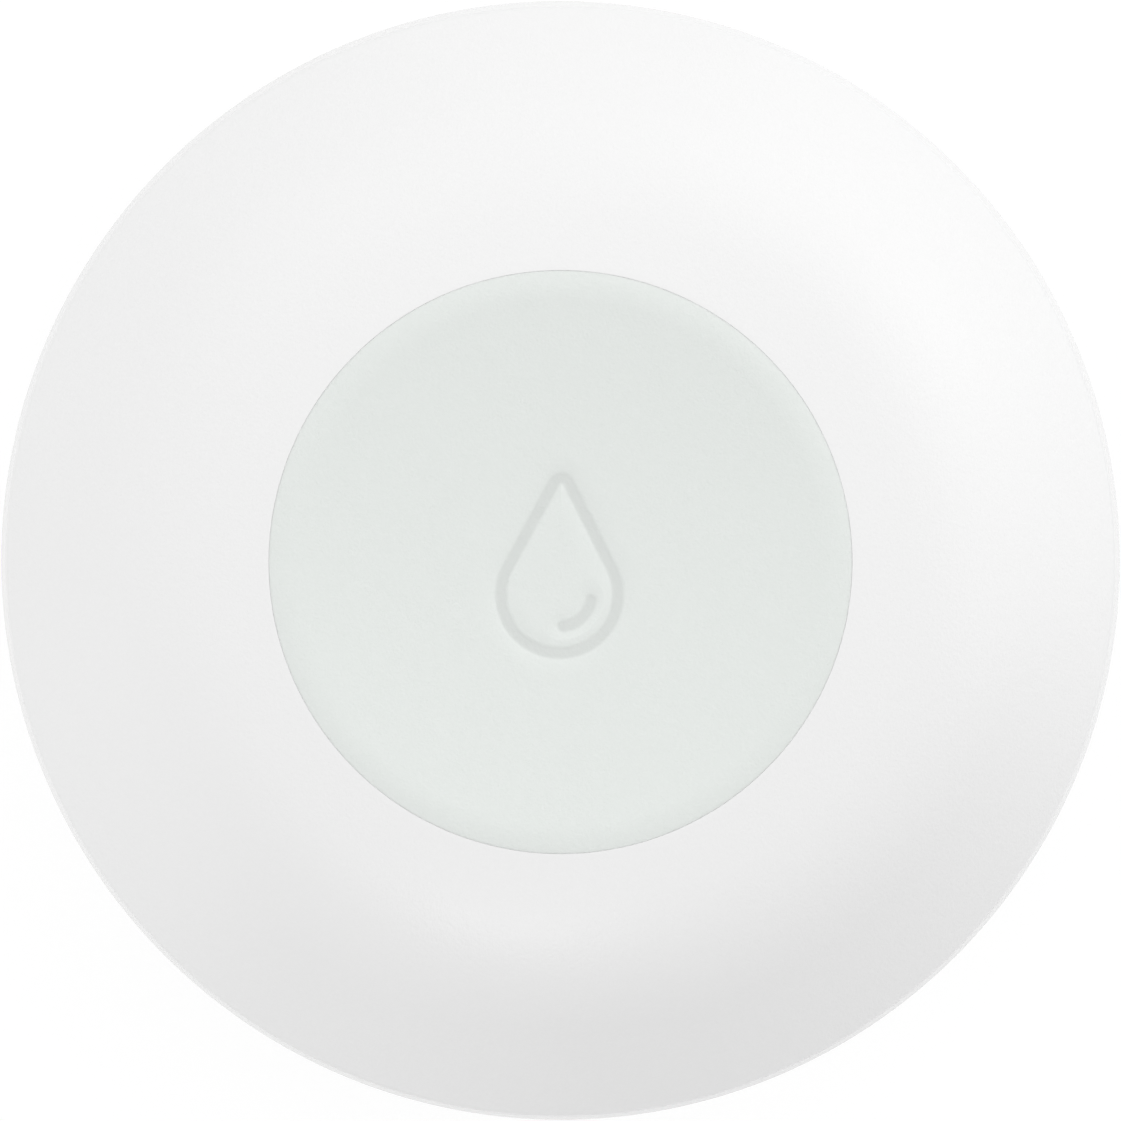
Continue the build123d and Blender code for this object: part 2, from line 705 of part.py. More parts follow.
# Button plate: a stiff disc inside the cap, with a boss over the switch and three hooks that
# pass through the ledge and catch under it
hook_middle = ledge_radius - hook_inset - hook_thickness / 2
barb_z = ledge_under_z - seat_gap - barb_height
with BuildPart() as button_plate:
    with BuildSketch(Plane.XY.offset(plate_z)):
        Circle(button_radius - cap_skirt - running_clearance)
    extrude(amount=plate_thickness)
    with BuildSketch(Plane.XY.offset(plate_z)):
        Circle(plate_boss_radius)
    extrude(amount=-plate_boss_height)
    with BuildSketch(Plane.XY.offset(plate_z)):
        with PolarLocations(hook_middle, hook_count, start_angle=90):
            Rectangle(hook_thickness, hook_width)
    extrude(amount=barb_z - plate_z)
    with BuildSketch(Plane.XY.offset(barb_z)):
        with PolarLocations(hook_middle + barb_reach / 2, hook_count, start_angle=90):
            Rectangle(hook_thickness + barb_reach, hook_width)
    extrude(amount=barb_height)
save(button_plate, "button_plate")

# Button seal: a soft ring between the ledge and the button, which also pushes the button back
with BuildPart() as button_seal:
    with BuildSketch(Plane.XY.offset(ledge_z)):
        Circle(button_radius)
        Circle(button_radius - seal_ring_width, mode=Mode.SUBTRACT)
    extrude(amount=seal_ring_thickness)
save(button_seal, "button_seal")

# Test switch in the middle of the board
switch_top_z = board_top_z + switch_height
leg_x = (switch_side + leg_reach) / 2
with BuildPart() as test_switch_body:
    with BuildSketch(Plane.XY.offset(board_top_z)):
        Rectangle(switch_side, switch_side)
    extrude(amount=switch_height)
    with BuildSketch(Plane.XY.offset(board_top_z)):
        with Locations(*four_corners(leg_x, leg_spacing / 2)):
            Rectangle(leg_reach, leg_width)
    extrude(amount=leg_thickness)
    with BuildSketch(Plane.XY.offset(switch_top_z)):
        Circle(plunger_radius + running_clearance)
    extrude(amount=-(plunger_depth + button_travel + running_clearance), mode=Mode.SUBTRACT)
save(test_switch_body, "test_switch_body")

with BuildPart() as test_switch_plunger:
    with BuildSketch(Plane.XY.offset(switch_top_z - plunger_depth)):
        Circle(plunger_radius)
    extrude(amount=plunger_top_z - switch_top_z + plunger_depth)
save(test_switch_plunger, "test_switch_plunger")

# Sounder: a cup that hangs under the board, with its diaphragm on a step inside
sounder_z = board_z - sounder_height
diaphragm_z = sounder_z + diaphragm_depth
with BuildPart() as sounder_case:
    with BuildSketch(Plane.XY.offset(sounder_z)):
        with Locations((sounder_x, 0)):
            Circle(sounder_radius)
    extrude(amount=sounder_height)
    with BuildSketch(Plane.XY.offset(sounder_z)):
        with Locations((sounder_x, 0)):
            Circle(sounder_port_radius)
    extrude(amount=sounder_wall, mode=Mode.SUBTRACT)
    with BuildSketch(Plane.XY.offset(sounder_z + sounder_wall)):
        with Locations((sounder_x, 0)):
            Circle(sounder_radius - 2 * sounder_wall)
    extrude(amount=diaphragm_depth - sounder_wall, mode=Mode.SUBTRACT)
    with BuildSketch(Plane.XY.offset(diaphragm_z)):
        with Locations((sounder_x, 0)):
            Circle(sounder_radius - sounder_wall)
    extrude(amount=sounder_height - diaphragm_depth, mode=Mode.SUBTRACT)
save(sounder_case, "sounder_case")

with BuildPart() as sounder_diaphragm:
    with BuildSketch(Plane.XY.offset(diaphragm_z)):
        with Locations((sounder_x, 0)):
            Circle(sounder_radius - sounder_wall - running_clearance)
    extrude(amount=diaphragm_thickness)
save(sounder_diaphragm, "sounder_diaphragm")

with BuildPart() as sounder_gasket:
    with BuildSketch(Plane.XY.offset(sounder_z)):
        with Locations((sounder_x, 0)):
            Circle(sounder_radius)
            Circle(sounder_radius - sounder_gasket_wall, mode=Mode.SUBTRACT)
    extrude(amount=floor_z + seat_gap - sounder_z)
save(sounder_gasket, "sounder_gasket")

with BuildPart() as sound_membrane:
    with BuildSketch(Plane.XY.offset(floor_z - membrane_recess)):
        with Locations((sounder_x, 0)):
            Circle(membrane_radius)
    extrude(amount=membrane_thickness)
save(sound_membrane, "sound_membrane")

# Small parts on the board
with BuildPart() as status_lamp:
    with BuildSketch(Plane.XY.offset(board_top_z)):
        with Locations((0, lamp_y)):
            Rectangle(lamp_length, lamp_width)
    extrude(amount=lamp_height)
save(status_lamp, "status_lamp")

with BuildPart() as controller_chip:
    with BuildSketch(Plane.XY.offset(board_top_z)):
        with Locations((chip_x, chip_y)):
            Rectangle(chip_side, chip_side)
    extrude(amount=chip_height)
save(controller_chip, "controller_chip")

with BuildPart() as capacitors:
    with BuildSketch(Plane.XY.offset(board_top_z)):
        with Locations((capacitor_x, 0)):
            with GridLocations(capacitor_spacing, capacitor_spacing, 1, capacitor_count):
                Rectangle(capacitor_length, capacitor_width)
    extrude(amount=capacitor_height)
save(capacitors, "capacitors")

with BuildPart() as radio_shield:
    with BuildSketch(Plane.XY.offset(board_z)):
        with Locations((shield_x, 0)):
            Rectangle(shield_length, shield_width)
    extrude(amount=-shield_height)
    fillet(radio_shield.edges().group_by(Axis.Z)[0], shield_round)
save(radio_shield, "radio_shield")

with BuildPart() as antenna:
    with BuildSketch(Plane.XY.offset(board_top_z)):
        with Locations((antenna_x, 0)):
            Rectangle(antenna_width, antenna_length)
    extrude(amount=antenna_height)
save(antenna, "antenna")
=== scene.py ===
import json
import math

import bmesh
import bpy
import numpy as np
from bpy.props import FloatProperty, FloatVectorProperty, IntProperty, PointerProperty
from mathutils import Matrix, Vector


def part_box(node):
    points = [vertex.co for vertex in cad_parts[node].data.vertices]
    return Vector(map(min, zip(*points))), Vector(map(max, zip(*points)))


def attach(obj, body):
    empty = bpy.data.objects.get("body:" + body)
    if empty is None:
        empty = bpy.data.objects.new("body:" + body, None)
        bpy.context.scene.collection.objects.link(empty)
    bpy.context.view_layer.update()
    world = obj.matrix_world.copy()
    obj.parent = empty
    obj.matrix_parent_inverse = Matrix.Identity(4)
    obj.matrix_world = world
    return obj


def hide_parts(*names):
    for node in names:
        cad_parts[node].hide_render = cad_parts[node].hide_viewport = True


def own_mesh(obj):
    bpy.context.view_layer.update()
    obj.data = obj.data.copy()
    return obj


bl_info = {
    "name": "Water leak alarm",
    "version": (1, 0, 0),
    "blender": (4, 5, 0),
    "location": "View3D > Sidebar > Leak alarm",
    "description": "Builds a round floor-standing water leak alarm round its packed solids",
    "category": "Add Mesh",
}

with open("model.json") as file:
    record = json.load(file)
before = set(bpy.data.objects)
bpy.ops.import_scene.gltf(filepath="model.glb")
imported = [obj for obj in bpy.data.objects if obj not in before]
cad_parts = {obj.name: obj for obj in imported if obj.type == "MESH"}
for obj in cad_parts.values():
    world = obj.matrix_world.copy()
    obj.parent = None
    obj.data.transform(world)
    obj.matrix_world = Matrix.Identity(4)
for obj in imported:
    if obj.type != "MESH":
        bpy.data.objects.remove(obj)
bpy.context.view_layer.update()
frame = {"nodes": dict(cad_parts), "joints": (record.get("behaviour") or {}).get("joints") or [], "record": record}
nodes = frame["nodes"]

MM = 0.001
MICRON = 0.000001
TAU = 2 * math.pi
SMOOTH_ANGLE, STRIP_ANGLE, ROUND_ANGLE = math.radians(32), math.radians(50), math.radians(60)
MERGE, SLIVER = 0.5 * MICRON, 0.1 * MICRON
SENSOR_WIDTH = 36


# Properties

def size(name, about, millimetres):
    """A length, given in millimetres and kept in metres."""
    return FloatProperty(name=name, description=about, default=millimetres * MM, unit="LENGTH", precision=5)


def tilt(name, about, degrees):
    """An angle, given in degrees and kept in radians."""
    return FloatProperty(name=name, description=about, default=math.radians(degrees), subtype="ANGLE")


def share(name, about, value):
    """A plain number."""
    return FloatProperty(name=name, description=about, default=value, subtype="FACTOR")


def tint(name, about, red, green, blue):
    """A colour in linear light."""
    return FloatVectorProperty(
        name=name, description=about, default=(red, green, blue), subtype="COLOR", size=3, min=0, max=1)


class ShellSizes(bpy.types.PropertyGroup):
    """Sizes of the upper shell."""
    radius: size("Radius", "The shell's foot, its widest place", 32.489)
    foot_z: size("Foot height", "Lower edge of the shell, above the floor", 8.4)
    rim_z: size("Rim height", "Top of the shell at the button's opening", 22.95)
    crease_inset: size("Crease inset", "How far the wall leans in between foot and crease", 0.42)
    flank_run: size("Flank width", "Width of the straight flank, seen from above", 4.88)
    rim_run: size("Rim width", "From the opening out to the shoulder, seen from above", 3.07)
    opening_radius: size("Opening radius", "Edge of the button's opening", 16.78)
    thickness: size("Thickness", "Thickness of the shell's wall", 1.8)
    collar_thickness: size("Collar", "Thickness of the tube round the button's well", 1.4)
    ledge_width: size("Ledge width", "Ring in the well that carries the seal", 2.36)
    ledge_z: size("Ledge height", "Top of that ring", 18.7)
    ledge_thickness: size("Ledge thickness", "Thickness of that ring", 1.0)
    rim_slope: tilt("Rim slope", "Slope of the crown at the opening", 9.5)
    shoulder_slope: tilt("Shoulder slope", "Slope where the shoulder starts", 12.5)
    flank_slope: tilt("Flank slope", "Slope of the straight flank", 37.0)


class ButtonSizes(bpy.types.PropertyGroup):
    """Sizes of the button cap and of the drop pressed into it."""
    radius: size("Radius", "Edge of the cap", 16.776)
    crest_z: size("Crest height", "Highest ring of the cap", 23.1)
    dish: size("Dish", "How far the middle lies under the crest", 1.0)
    roll: size("Roll", "Radius of the rolled edge", 4.0)
    roll_slope: tilt("Roll slope", "Slope at which the rolled edge ends", 16.0)
    corner: size("Corner", "Radius of the corner under the rolled edge", 0.02)
    foot_z: size("Foot height", "Lower edge of the skirt", 20.3)
    under_z: size("Underside height", "Flat underside of the cap", 21.1)
    skirt: size("Skirt", "Thickness of the skirt", 0.8)
    drop_radius: size("Drop radius", "Round part of the drop, middle of its groove", 3.362)
    drop_below: size("Drop centre", "How far its centre lies under the button's", 1.892)
    drop_aside: size("Drop aside", "How far its centre lies to the left of the button's", 0.064)
    drop_turn: tilt("Drop turn", "How far the drop leans to the right", 1.0)
    drop_tip: size("Drop tip", "Radius of the drop's tip", 0.471)
    drop_angle: tilt("Drop side", "Angle between a straight side and the upright", 27.66)
    groove_width: size("Groove width", "Width of the groove at half its depth", 0.64)
    groove_depth: size("Groove depth", "Depth of the groove", 0.17)
    groove_edge: size("Groove edge", "Width over which each wall of the groove falls", 0.34)
    shoulder_width: size("Groove shoulder", "Width of the shallow fall beside the groove", 1.1)
    shoulder_depth: size("Groove shoulder depth", "Depth of that fall at the groove", 0.13)
    glint_radius: size("Glint radius", "Radius of the short arc in the drop", 1.84)
    glint_start: tilt("Glint start", "Where the short arc starts", -82.0)
    glint_turn: tilt("Glint length", "How far the short arc turns", 73.0)


class InsideSizes(bpy.types.PropertyGroup):
    """Sizes of the base screws' threads and of the springs."""
    screw_pitch: size("Thread pitch", "Pitch of the base screws", 0.9)
    thread_depth: size("Thread depth", "Depth of their thread", 0.22)
    spring_wire: size("Spring wire", "Thickness of the probe springs' wire", 0.5)
    contact_wire: size("Contact wire", "Thickness of the cone springs' wire", 0.5)
    spring_turns: IntProperty(name="Spring turns", description="Turns of each probe spring", default=9)
    cone_turns: IntProperty(name="Cone turns", description="Turns of each cone spring", default=4)


class Colours(bpy.types.PropertyGroup):
    """Colours of the finishes, in linear light."""
    shell: tint("Shell", "White moulded plastic", 0.855, 0.855, 0.855)
    base: tint("Base", "White moulded plastic of the base", 0.80, 0.80, 0.795)
    cap: tint("Cap", "Pale sage silicone", 0.7855, 0.8117, 0.7925)
    # Painted shade: the grooves keep only this share of the cap's colour.
    groove_shade_share: share("Groove tone", "Share of the cap's colour that the groove keeps", 0.906)
    cap_depth: size("Cap depth", "How far light travels under the cap's skin", 0.15)
    board: tint("Board", "Solder mask", 0.012, 0.11, 0.035)
    jacket: tint("Cell jacket", "Printed foil round the cells", 0.045, 0.07, 0.11)
    band: tint("Cell band", "Band at the cells' positive end", 0.62, 0.42, 0.20)
    steel: tint("Steel", "Stainless steel", 0.56, 0.55, 0.53)
    foam: tint("Foam", "Dark grey closed-cell foam", 0.045, 0.047, 0.047)
    floor: tint("Floor", "Pale floor", 0.84, 0.84, 0.84)


class StageSizes(bpy.types.PropertyGroup):
    """Camera and lights."""
    camera_height: size("Camera height", "Camera above the floor", 1500.0)
    camera_back: size("Camera offset", "How far the camera stands towards +Y", 9.8)
    field: share("Half field", "Half the picture's width over the camera's distance", 0.021821)
    floor_half: size("Floor half width", "Half the floor's width", 4000.0)
    floor_glow: share("Floor glow", "Strength of the white that is seen in the floor", 1.05)
    floor_white: share("Floor white", "Share of that white in what is seen of the floor", 0.85)
    world: share("World light", "Strength of the light from all round", 0.892)
    dark: share("Dark side", "How much weaker the world light is on its dark side", 0.746)
    dark_turn: tilt("Dark direction", "Where the dark side lies, from +X towards +Y", 300.0)
    dark_rise: tilt("Dark height", "How high the middle of the dark side lies", 10.0)
    dark_core: tilt("Dark core", "How far the darkest part reaches from its middle", 14.0)
    dark_reach: tilt("Dark reach", "Where the dark side ends, from its middle", 45.6)


# Lamp: what it is, its strength, and its turn, its height and its width in degrees
LAMPS = {
    "key": ("upper half of the key light", 0.254, 48.0, 27.0, 45.0),
    "side": ("lower half of the key light", 0.450, 12.0, 26.0, 50.0),
    "back": ("light from the back", 0.194, 107.0, 38.0, 60.0),
    "fill": ("fill light", 0.153, 209.0, 12.0, 40.0),
    "low": ("small light from the lower side", 0.132, 262.0, 55.5, 8.0),
}
# Each lamp adds four properties to the stage, named after it
for lamp, (what, strength, turn, rise, width) in LAMPS.items():
    StageSizes.__annotations__.update({
        lamp: share(f"{lamp.capitalize()} light", f"Strength of the {what}", strength),
        lamp + "_turn": tilt(f"{lamp.capitalize()} direction", f"Where the {what} stands", turn),
        lamp + "_rise": tilt(f"{lamp.capitalize()} height", f"How high the {what} stands", rise),
        lamp + "_width": tilt(f"{lamp.capitalize()} width", f"How wide the {what} is", width)})


# Grids and outlines

def grid_faces(rows, columns, closed_rows=False):
    """Four-sided faces between neighbouring points of a grid whose columns close on themselves."""
    row = np.arange(rows if closed_rows else rows - 1)[:, None]
    column = np.arange(columns)[None, :]
    next_row, next_column = (row + 1) % rows, (column + 1) % columns
    corners = np.broadcast_arrays(
        row * columns + column, row * columns + next_column,
        next_row * columns + next_column, next_row * columns + column)
    return np.stack(corners, axis=-1).reshape(-1, 4)


class Shape:
    """Grid surfaces gathered into one mesh, each point with one number of its own."""

    def __init__(self):
        self.points, self.faces, self.marks, self.count = [], [], [], 0

    def add(self, grid, closed_rows=False, mark=0.0):
        """Add a grid of points, rows by columns by 3; the columns close on themselves."""
        rows, columns = grid.shape[:2]
        self.points.append(grid.reshape(-1, 3))
        self.faces.append(grid_faces(rows, columns, closed_rows) + self.count)
        self.marks.append(np.broadcast_to(mark, (rows, columns)).reshape(-1))
        self.count += rows * columns
        return self

    def spin(self, outline, steps, centre=(0.0, 0.0)):
        """Add a closed outline that is carried round an upright axis."""
        return self.add(turned(outline, steps, centre), closed_rows=True)

    def at_corners(self, node, radius, grid, **options):
        """Add a grid four times, round the middles of the four round pieces of a node."""
        for place in places(node, radius):
            self.add(grid + np.array([*place, 0]), **options)
        return self

    def build(self, name, body, slot, *replaced, smooth=SMOOTH_ANGLE):
        """Make the mesh, merge points that meet, turn the faces outwards and hand the piece over."""
        mesh = bpy.data.meshes.new(name)
        mesh.from_pydata(np.concatenate(self.points).tolist(), [], np.concatenate(self.faces).tolist())
        mark = mesh.attributes.new("mark", "FLOAT", "POINT")
        mark.data.foreach_set("value", np.concatenate(self.marks).astype(np.float32))
        edit = bmesh.new()
        edit.from_mesh(mesh)
        bmesh.ops.remove_doubles(edit, verts=edit.verts, dist=MERGE)
        bmesh.ops.dissolve_degenerate(edit, edges=edit.edges, dist=SLIVER)
        bmesh.ops.recalc_face_normals(edit, faces=edit.faces)
        edit.to_mesh(mesh)
        edit.free()
        mesh.polygons.foreach_set("use_smooth", np.ones(len(mesh.polygons), bool))
        mesh.set_sharp_from_angle(angle=smooth)
        mesh.materials.append(finish_of(slot))
        piece = bpy.data.objects.new(name, mesh)
        bpy.context.scene.collection.objects.link(piece)
        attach(piece, body)
        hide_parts(*replaced)
        return piece


def unit(vectors):
    """Vectors over their own lengths; a vector with no length stays as it is."""
    lengths = np.linalg.norm(vectors, axis=-1, keepdims=True)
    return vectors / np.where(lengths < 1e-15, 1, lengths)


def eased(corners, steps=5):
    """A closed outline with round corners, each given by its two coordinates and its radius. At
    each corner an arc touches both sides: it starts radius over tangent of half the corner's angle
    away from it, round a centre radius over sine of that half angle away, and turns evenly from
    one side to the other."""
    corners = np.asarray(corners, float)
    corners, radii = corners[:, :2], corners[:, 2:]
    to_last = unit(np.roll(corners, 1, 0) - corners)
    to_next = unit(np.roll(corners, -1, 0) - corners)
    half = np.arccos(np.clip((to_last * to_next).sum(1), -1, 1))[:, None] / 2
    centre = corners + unit(to_last + to_next) * radii / np.sin(half)
    start = corners + to_last * radii / np.tan(half) - centre
    end = corners + to_next * radii / np.tan(half) - centre
    turn = math.pi - 2 * half
    along = np.linspace(0, 1, steps)[None, :, None]
    turn = np.maximum(turn, 1e-9)[:, :, None]
    arc = np.sin((1 - along) * turn) * start[:, None] + np.sin(along * turn) * end[:, None]
    points = (centre[:, None] + arc / np.sin(turn)).reshape(-1, 2)
    apart = np.linalg.norm(points - np.roll(points, 1, 0), axis=1)
    return points[apart > 0.01 * MICRON]


def turned(outline, steps=96, centre=(0.0, 0.0)):
    """Carry an outline of radius and height round an upright axis: x and y are the radius times
    the cosine and sine of the turn, and z is the height."""
    turn = np.arange(steps) * TAU / steps
    radius, height = outline[:, :1], outline[:, 1:]
    x = centre[0] + radius * np.cos(turn)
    y = centre[1] + radius * np.sin(turn)
    return np.stack([x, y, np.broadcast_to(height, x.shape)], axis=-1)


def laid(outline, steps, x, z):
    """Carry an outline of radius and distance round an axis along Y: x and z are the radius times
    the cosine and sine of the turn, and y is the distance."""
    upright = turned(outline, steps)
    return np.stack([upright[..., 0] + x, upright[..., 2], upright[..., 1] + z], axis=-1)


def ring(inner, outer, low, high, edge, steps=3):
    """The outline of a ring of oblong section, whose four corners are eased alike."""
    return eased(
        [(inner, low, edge), (outer, low, edge), (outer, high, edge), (inner, high, edge)], steps)


def coil(turns, low, high, wide, narrow, wire, dead=1.1, steps=44, sides=12):
    """A round wire wound into a coil about an upright axis. Its middle line climbs from low to
    high: slowly in the dead turns at both ends, evenly between. Its radius goes from wide to
    narrow. The wire's section turns about that line, and its ends close to a point."""
    along = np.linspace(0, 1, int(turns * steps) + 1)
    near_end = np.minimum(along, 1 - along) * turns
    pace = wire + (high - low) / turns * 3 * smooth_step(near_end, dead * 0.6, dead * 1.4)
    climb = np.concatenate([[0], np.cumsum((pace[1:] + pace[:-1]) / 2)])
    height = low + wire / 2 + (high - low - wire) * climb / climb[-1]
    radius = wide + (narrow - wide) * along - wire / 2
    turn = TAU * turns * along
    out = np.stack([np.cos(turn), np.sin(turn), np.zeros_like(turn)], axis=-1)
    line = out * radius[:, None]
    line[:, 2] = height
    ahead = unit(np.gradient(line, axis=0))
    up = np.cross(ahead, out)
    around = (np.arange(sides) * TAU / sides)[None, :, None]
    rows = np.concatenate([[0], np.arange(len(along)), [len(along) - 1]])
    swell = np.concatenate([[0], np.full(len(along), wire / 2), [0]])[:, None, None]
    section = out[rows, None] * np.cos(around) + up[rows, None] * np.sin(around)
    return line[rows, None] + section * swell


def smooth_step(value, low, high):
    """0 up to low, 1 from high, and 3tt - 2ttt between, where t runs from 0 to 1."""
    t = np.clip((value - low) / (high - low), 0, 1)
    return t * t * (3 - 2 * t)


# Finishes

class Signal:
    """A socket's value that takes part in sums written in Python."""

    def __init__(self, owner, socket):
        self.owner, self.socket = owner, socket

    def maths(self, operation, *values):
        """One Math node on these values."""
        return self.owner.node("ShaderNodeMath", {"operation": operation}, dict(enumerate(values)))

    def __add__(self, other):
        return self.maths("ADD", self, other)

    def __sub__(self, other):
        return self.maths("SUBTRACT", self, other)

    def __rsub__(self, other):
        return self.maths("SUBTRACT", other, self)

    def __mul__(self, other):
        return self.maths("MULTIPLY", self, other)

    def __gt__(self, other):
        return self.maths("GREATER_THAN", self, other)

    def __lt__(self, other):
        return self.maths("LESS_THAN", self, other)

    __radd__ = __add__
    __rmul__ = __mul__

    def wave(self):
        """The sine of this value."""
        return self.maths("SINE", self)

    def root(self):
        """The square root of this value."""
        return self.maths("SQRT", self)

    def between(self, low, high):
        """0 up to low, 1 from high, and smooth between."""
        return self.owner.node(
            "ShaderNodeMapRange", {"interpolation_type": "SMOOTHSTEP", "clamp": True},
            {"Value": self, "From Min": low, "From Max": high, "To Min": 0.0, "To Max": 1.0})


class NodeTree:
    """The shader nodes of a material or of the world."""

    def __init__(self, owner):
        owner.use_nodes = True
        self.tree = owner.node_tree

    def set(self, node, socket, value):
        """Give a socket a value, or link it."""
        if isinstance(value, Signal):
            self.tree.links.new(value.socket, node.inputs[socket])
        else:
            node.inputs[socket].default_value = value

    def node(self, kind, settings=None, sockets=None, output=0):
        """Make a node of a type, set its settings and then its sockets, and return an output."""
        made = self.tree.nodes.new(kind)
        for setting, value in (settings or {}).items():
            setattr(made, setting, value)
        for socket, value in (sockets or {}).items():
            self.set(made, socket, value)
        return Signal(self, made.outputs[output])

    def place(self):
        """Where a point is on the object."""
        return self.node("ShaderNodeTexCoord", output="Object")

    def rays(self, *kinds):
        """1 for a ray of one of these kinds and 0 for every other, one value for each kind."""
        outputs = self.node("ShaderNodeLightPath").socket.node.outputs
        return [Signal(self, outputs[f"Is {kind} Ray"]) for kind in kinds]


class Finish(NodeTree):
    """A material on Object coordinates."""

    def __init__(self, name, colour, roughness, metallic=0.0, **constants):
        self.material = bpy.data.materials.new(name)
        super().__init__(self.material)
        self.shader = self.tree.nodes["Principled BSDF"]
        self.colour, self.roughness = tuple(colour), roughness
        self.give(Base_Color=(*colour, 1.0), Roughness=roughness, Metallic=metallic, **constants)

    def give(self, **sockets):
        """Set or link sockets of the surface shader, named with a low line for each space."""
        for socket, value in sockets.items():
            self.set(self.shader, socket.replace("_", " "), value)
        return self

    def axes(self):
        """The three coordinates of a point on the object."""
        parts = self.node("ShaderNodeSeparateXYZ", sockets={0: self.place()})
        return [Signal(self, output) for output in parts.socket.node.outputs]

    def noise(self, grain, detail=2.0, rough=0.5, where=None):
        """Noise whose features are about this long, in metres."""
        return self.node("ShaderNodeTexNoise", sockets={
            "Vector": where or self.place(), "Scale": 1 / grain, "Detail": detail, "Roughness": rough})

    def stretched(self, x, y, z):
        """The place with its axes multiplied, so that a pattern runs along one of them."""
        return self.node(
            "ShaderNodeVectorMath", {"operation": "MULTIPLY"}, {0: self.place(), 1: (x, y, z)})

    def mark(self):
        """The number that each point of a piece holds."""
        return self.node("ShaderNodeAttribute", {"attribute_name": "mark"}, output="Fac")

    def blend(self, factor, first, second):
        """The first colour where the factor is 0 and the second where it is 1."""
        first = first if isinstance(first, Signal) else (*first, 1.0)
        second = second if isinstance(second, Signal) else (*second, 1.0)
        return self.node(
            "ShaderNodeMix", {"data_type": "RGBA"}, {0: factor, 6: first, 7: second}, output=2)

    def bump(self, height):
        """Raise the surface by a height in metres."""
        return self.give(Normal=self.node(
            "ShaderNodeBump", sockets={"Height": height, "Distance": 1.0, "Strength": 1.0}))

    def moulded(self, grain, depth, drift=0.05, mottle=0.1, speckle=0.6):
        """Moulded plastic: a fine spark-eroded grain that also speckles its tone, a gloss mottled
        a little more coarsely, and colour and gloss that drift from place to place."""
        cloud = self.noise(9 * MM, 3.0)
        fine = self.noise(grain, 3.0, 0.6)
        spots = self.noise(grain * 2.3, 2.0, 0.6)
        lighter = [min(1.0, part * (1 + drift)) for part in self.colour]
        darker = [part * (1 - drift) for part in self.colour]
        gloss = (spots - 0.5) + (cloud - 0.5) * 0.6
        self.give(Base_Color=self.blend(cloud + (fine - 0.5) * speckle, darker, lighter),
                  Roughness=self.roughness + gloss * mottle)
        return self.bump((fine + spots * 0.6) * depth)

    def brushed(self, along, depth):
        """Drawn or rolled metal: fine lines that run along one axis, dulled in places."""
        stretch = [1.0, 1.0, 1.0]
        stretch[along] = 0.04
        lines = self.noise(0.09 * MM, 2.0, 0.6, self.stretched(*stretch))
        dull = self.noise(2.5 * MM, 3.0)
        darker = [part * 0.9 for part in self.colour]
        self.give(Base_Color=self.blend(dull, darker, self.colour),
                  Roughness=self.roughness + (lines - 0.5) * 0.18 + (dull - 0.5) * 0.12)
        return self.bump(lines * depth)


def shades(colour, *changes):
    """A colour with each of these amounts added to all its parts."""
    return [[part + change for part in colour] for change in changes]


def shell_plastic(name, colours):
    """White shell plastic with a fine matt grain."""
    return Finish(name, colours.shell, 0.26).moulded(
        0.18 * MM, 18 * MICRON, drift=0.006, mottle=0.02, speckle=3.0)


def base_plastic(name, colours):
    """The base's plastic, a shade greyer than the shell's."""
    return Finish(name, colours.base, 0.52).moulded(0.17 * MM, 9 * MICRON, drift=0.01)


def cap_silicone(name, colours):
    """Pale sage silicone with a satin skin, and painted shade in the grooves, where its colour is made darker."""
    finish = Finish(name, colours.cap, 0.5, Subsurface_Weight=1.0, Subsurface_Radius=(1, 1, 1),
                    Subsurface_Scale=colours.cap_depth)
    finish.moulded(0.17 * MM, 26 * MICRON, drift=0.006, speckle=4.0)
    plain = Signal(finish, finish.shader.inputs["Base Color"].links[0].from_socket)
    # Painted shade in the grooves: the cap's colour is darkened where the mark says a groove lies.
    deep = [part * colours.groove_shade_share for part in colours.cap]
    return finish.give(Base_Color=finish.blend(finish.mark(), plain, deep))


def probe_steel(name, colours):
    """Turned stainless steel: rings about each probe's own axis, from the radius each point holds."""
    finish = Finish(name, colours.steel, 0.3, 1.0)
    radius = finish.mark()
    ripple = (radius * (TAU / (0.12 * MM))).wave() + (radius * (TAU / (0.31 * MM))).wave() * 0.6
    dull = finish.noise(1.2 * MM, 3.0)
    finish.give(Base_Color=finish.blend(dull, *shades(colours.steel, -0.06, 0.06)),
                Roughness=0.26 + dull * 0.12)
    return finish.bump(ripple * (0.7 * MICRON))


def seal_foam(name, colours):
    """Closed-cell foam, dark grey, with open pores on its skin."""
    finish = Finish(name, colours.foam, 0.9)
    pores = finish.node("ShaderNodeTexVoronoi", {"feature": "F1"}, {
        "Vector": finish.place(), "Scale": 1 / (0.22 * MM)})
    cloud = finish.noise(1.5 * MM, 2.0)
    finish.give(Base_Color=finish.blend(cloud, *shades(colours.foam, -0.010, 0.015)),
                Roughness=0.82 + cloud * 0.12)
    return finish.bump(pores.between(0.0, 0.6) * (30 * MICRON))


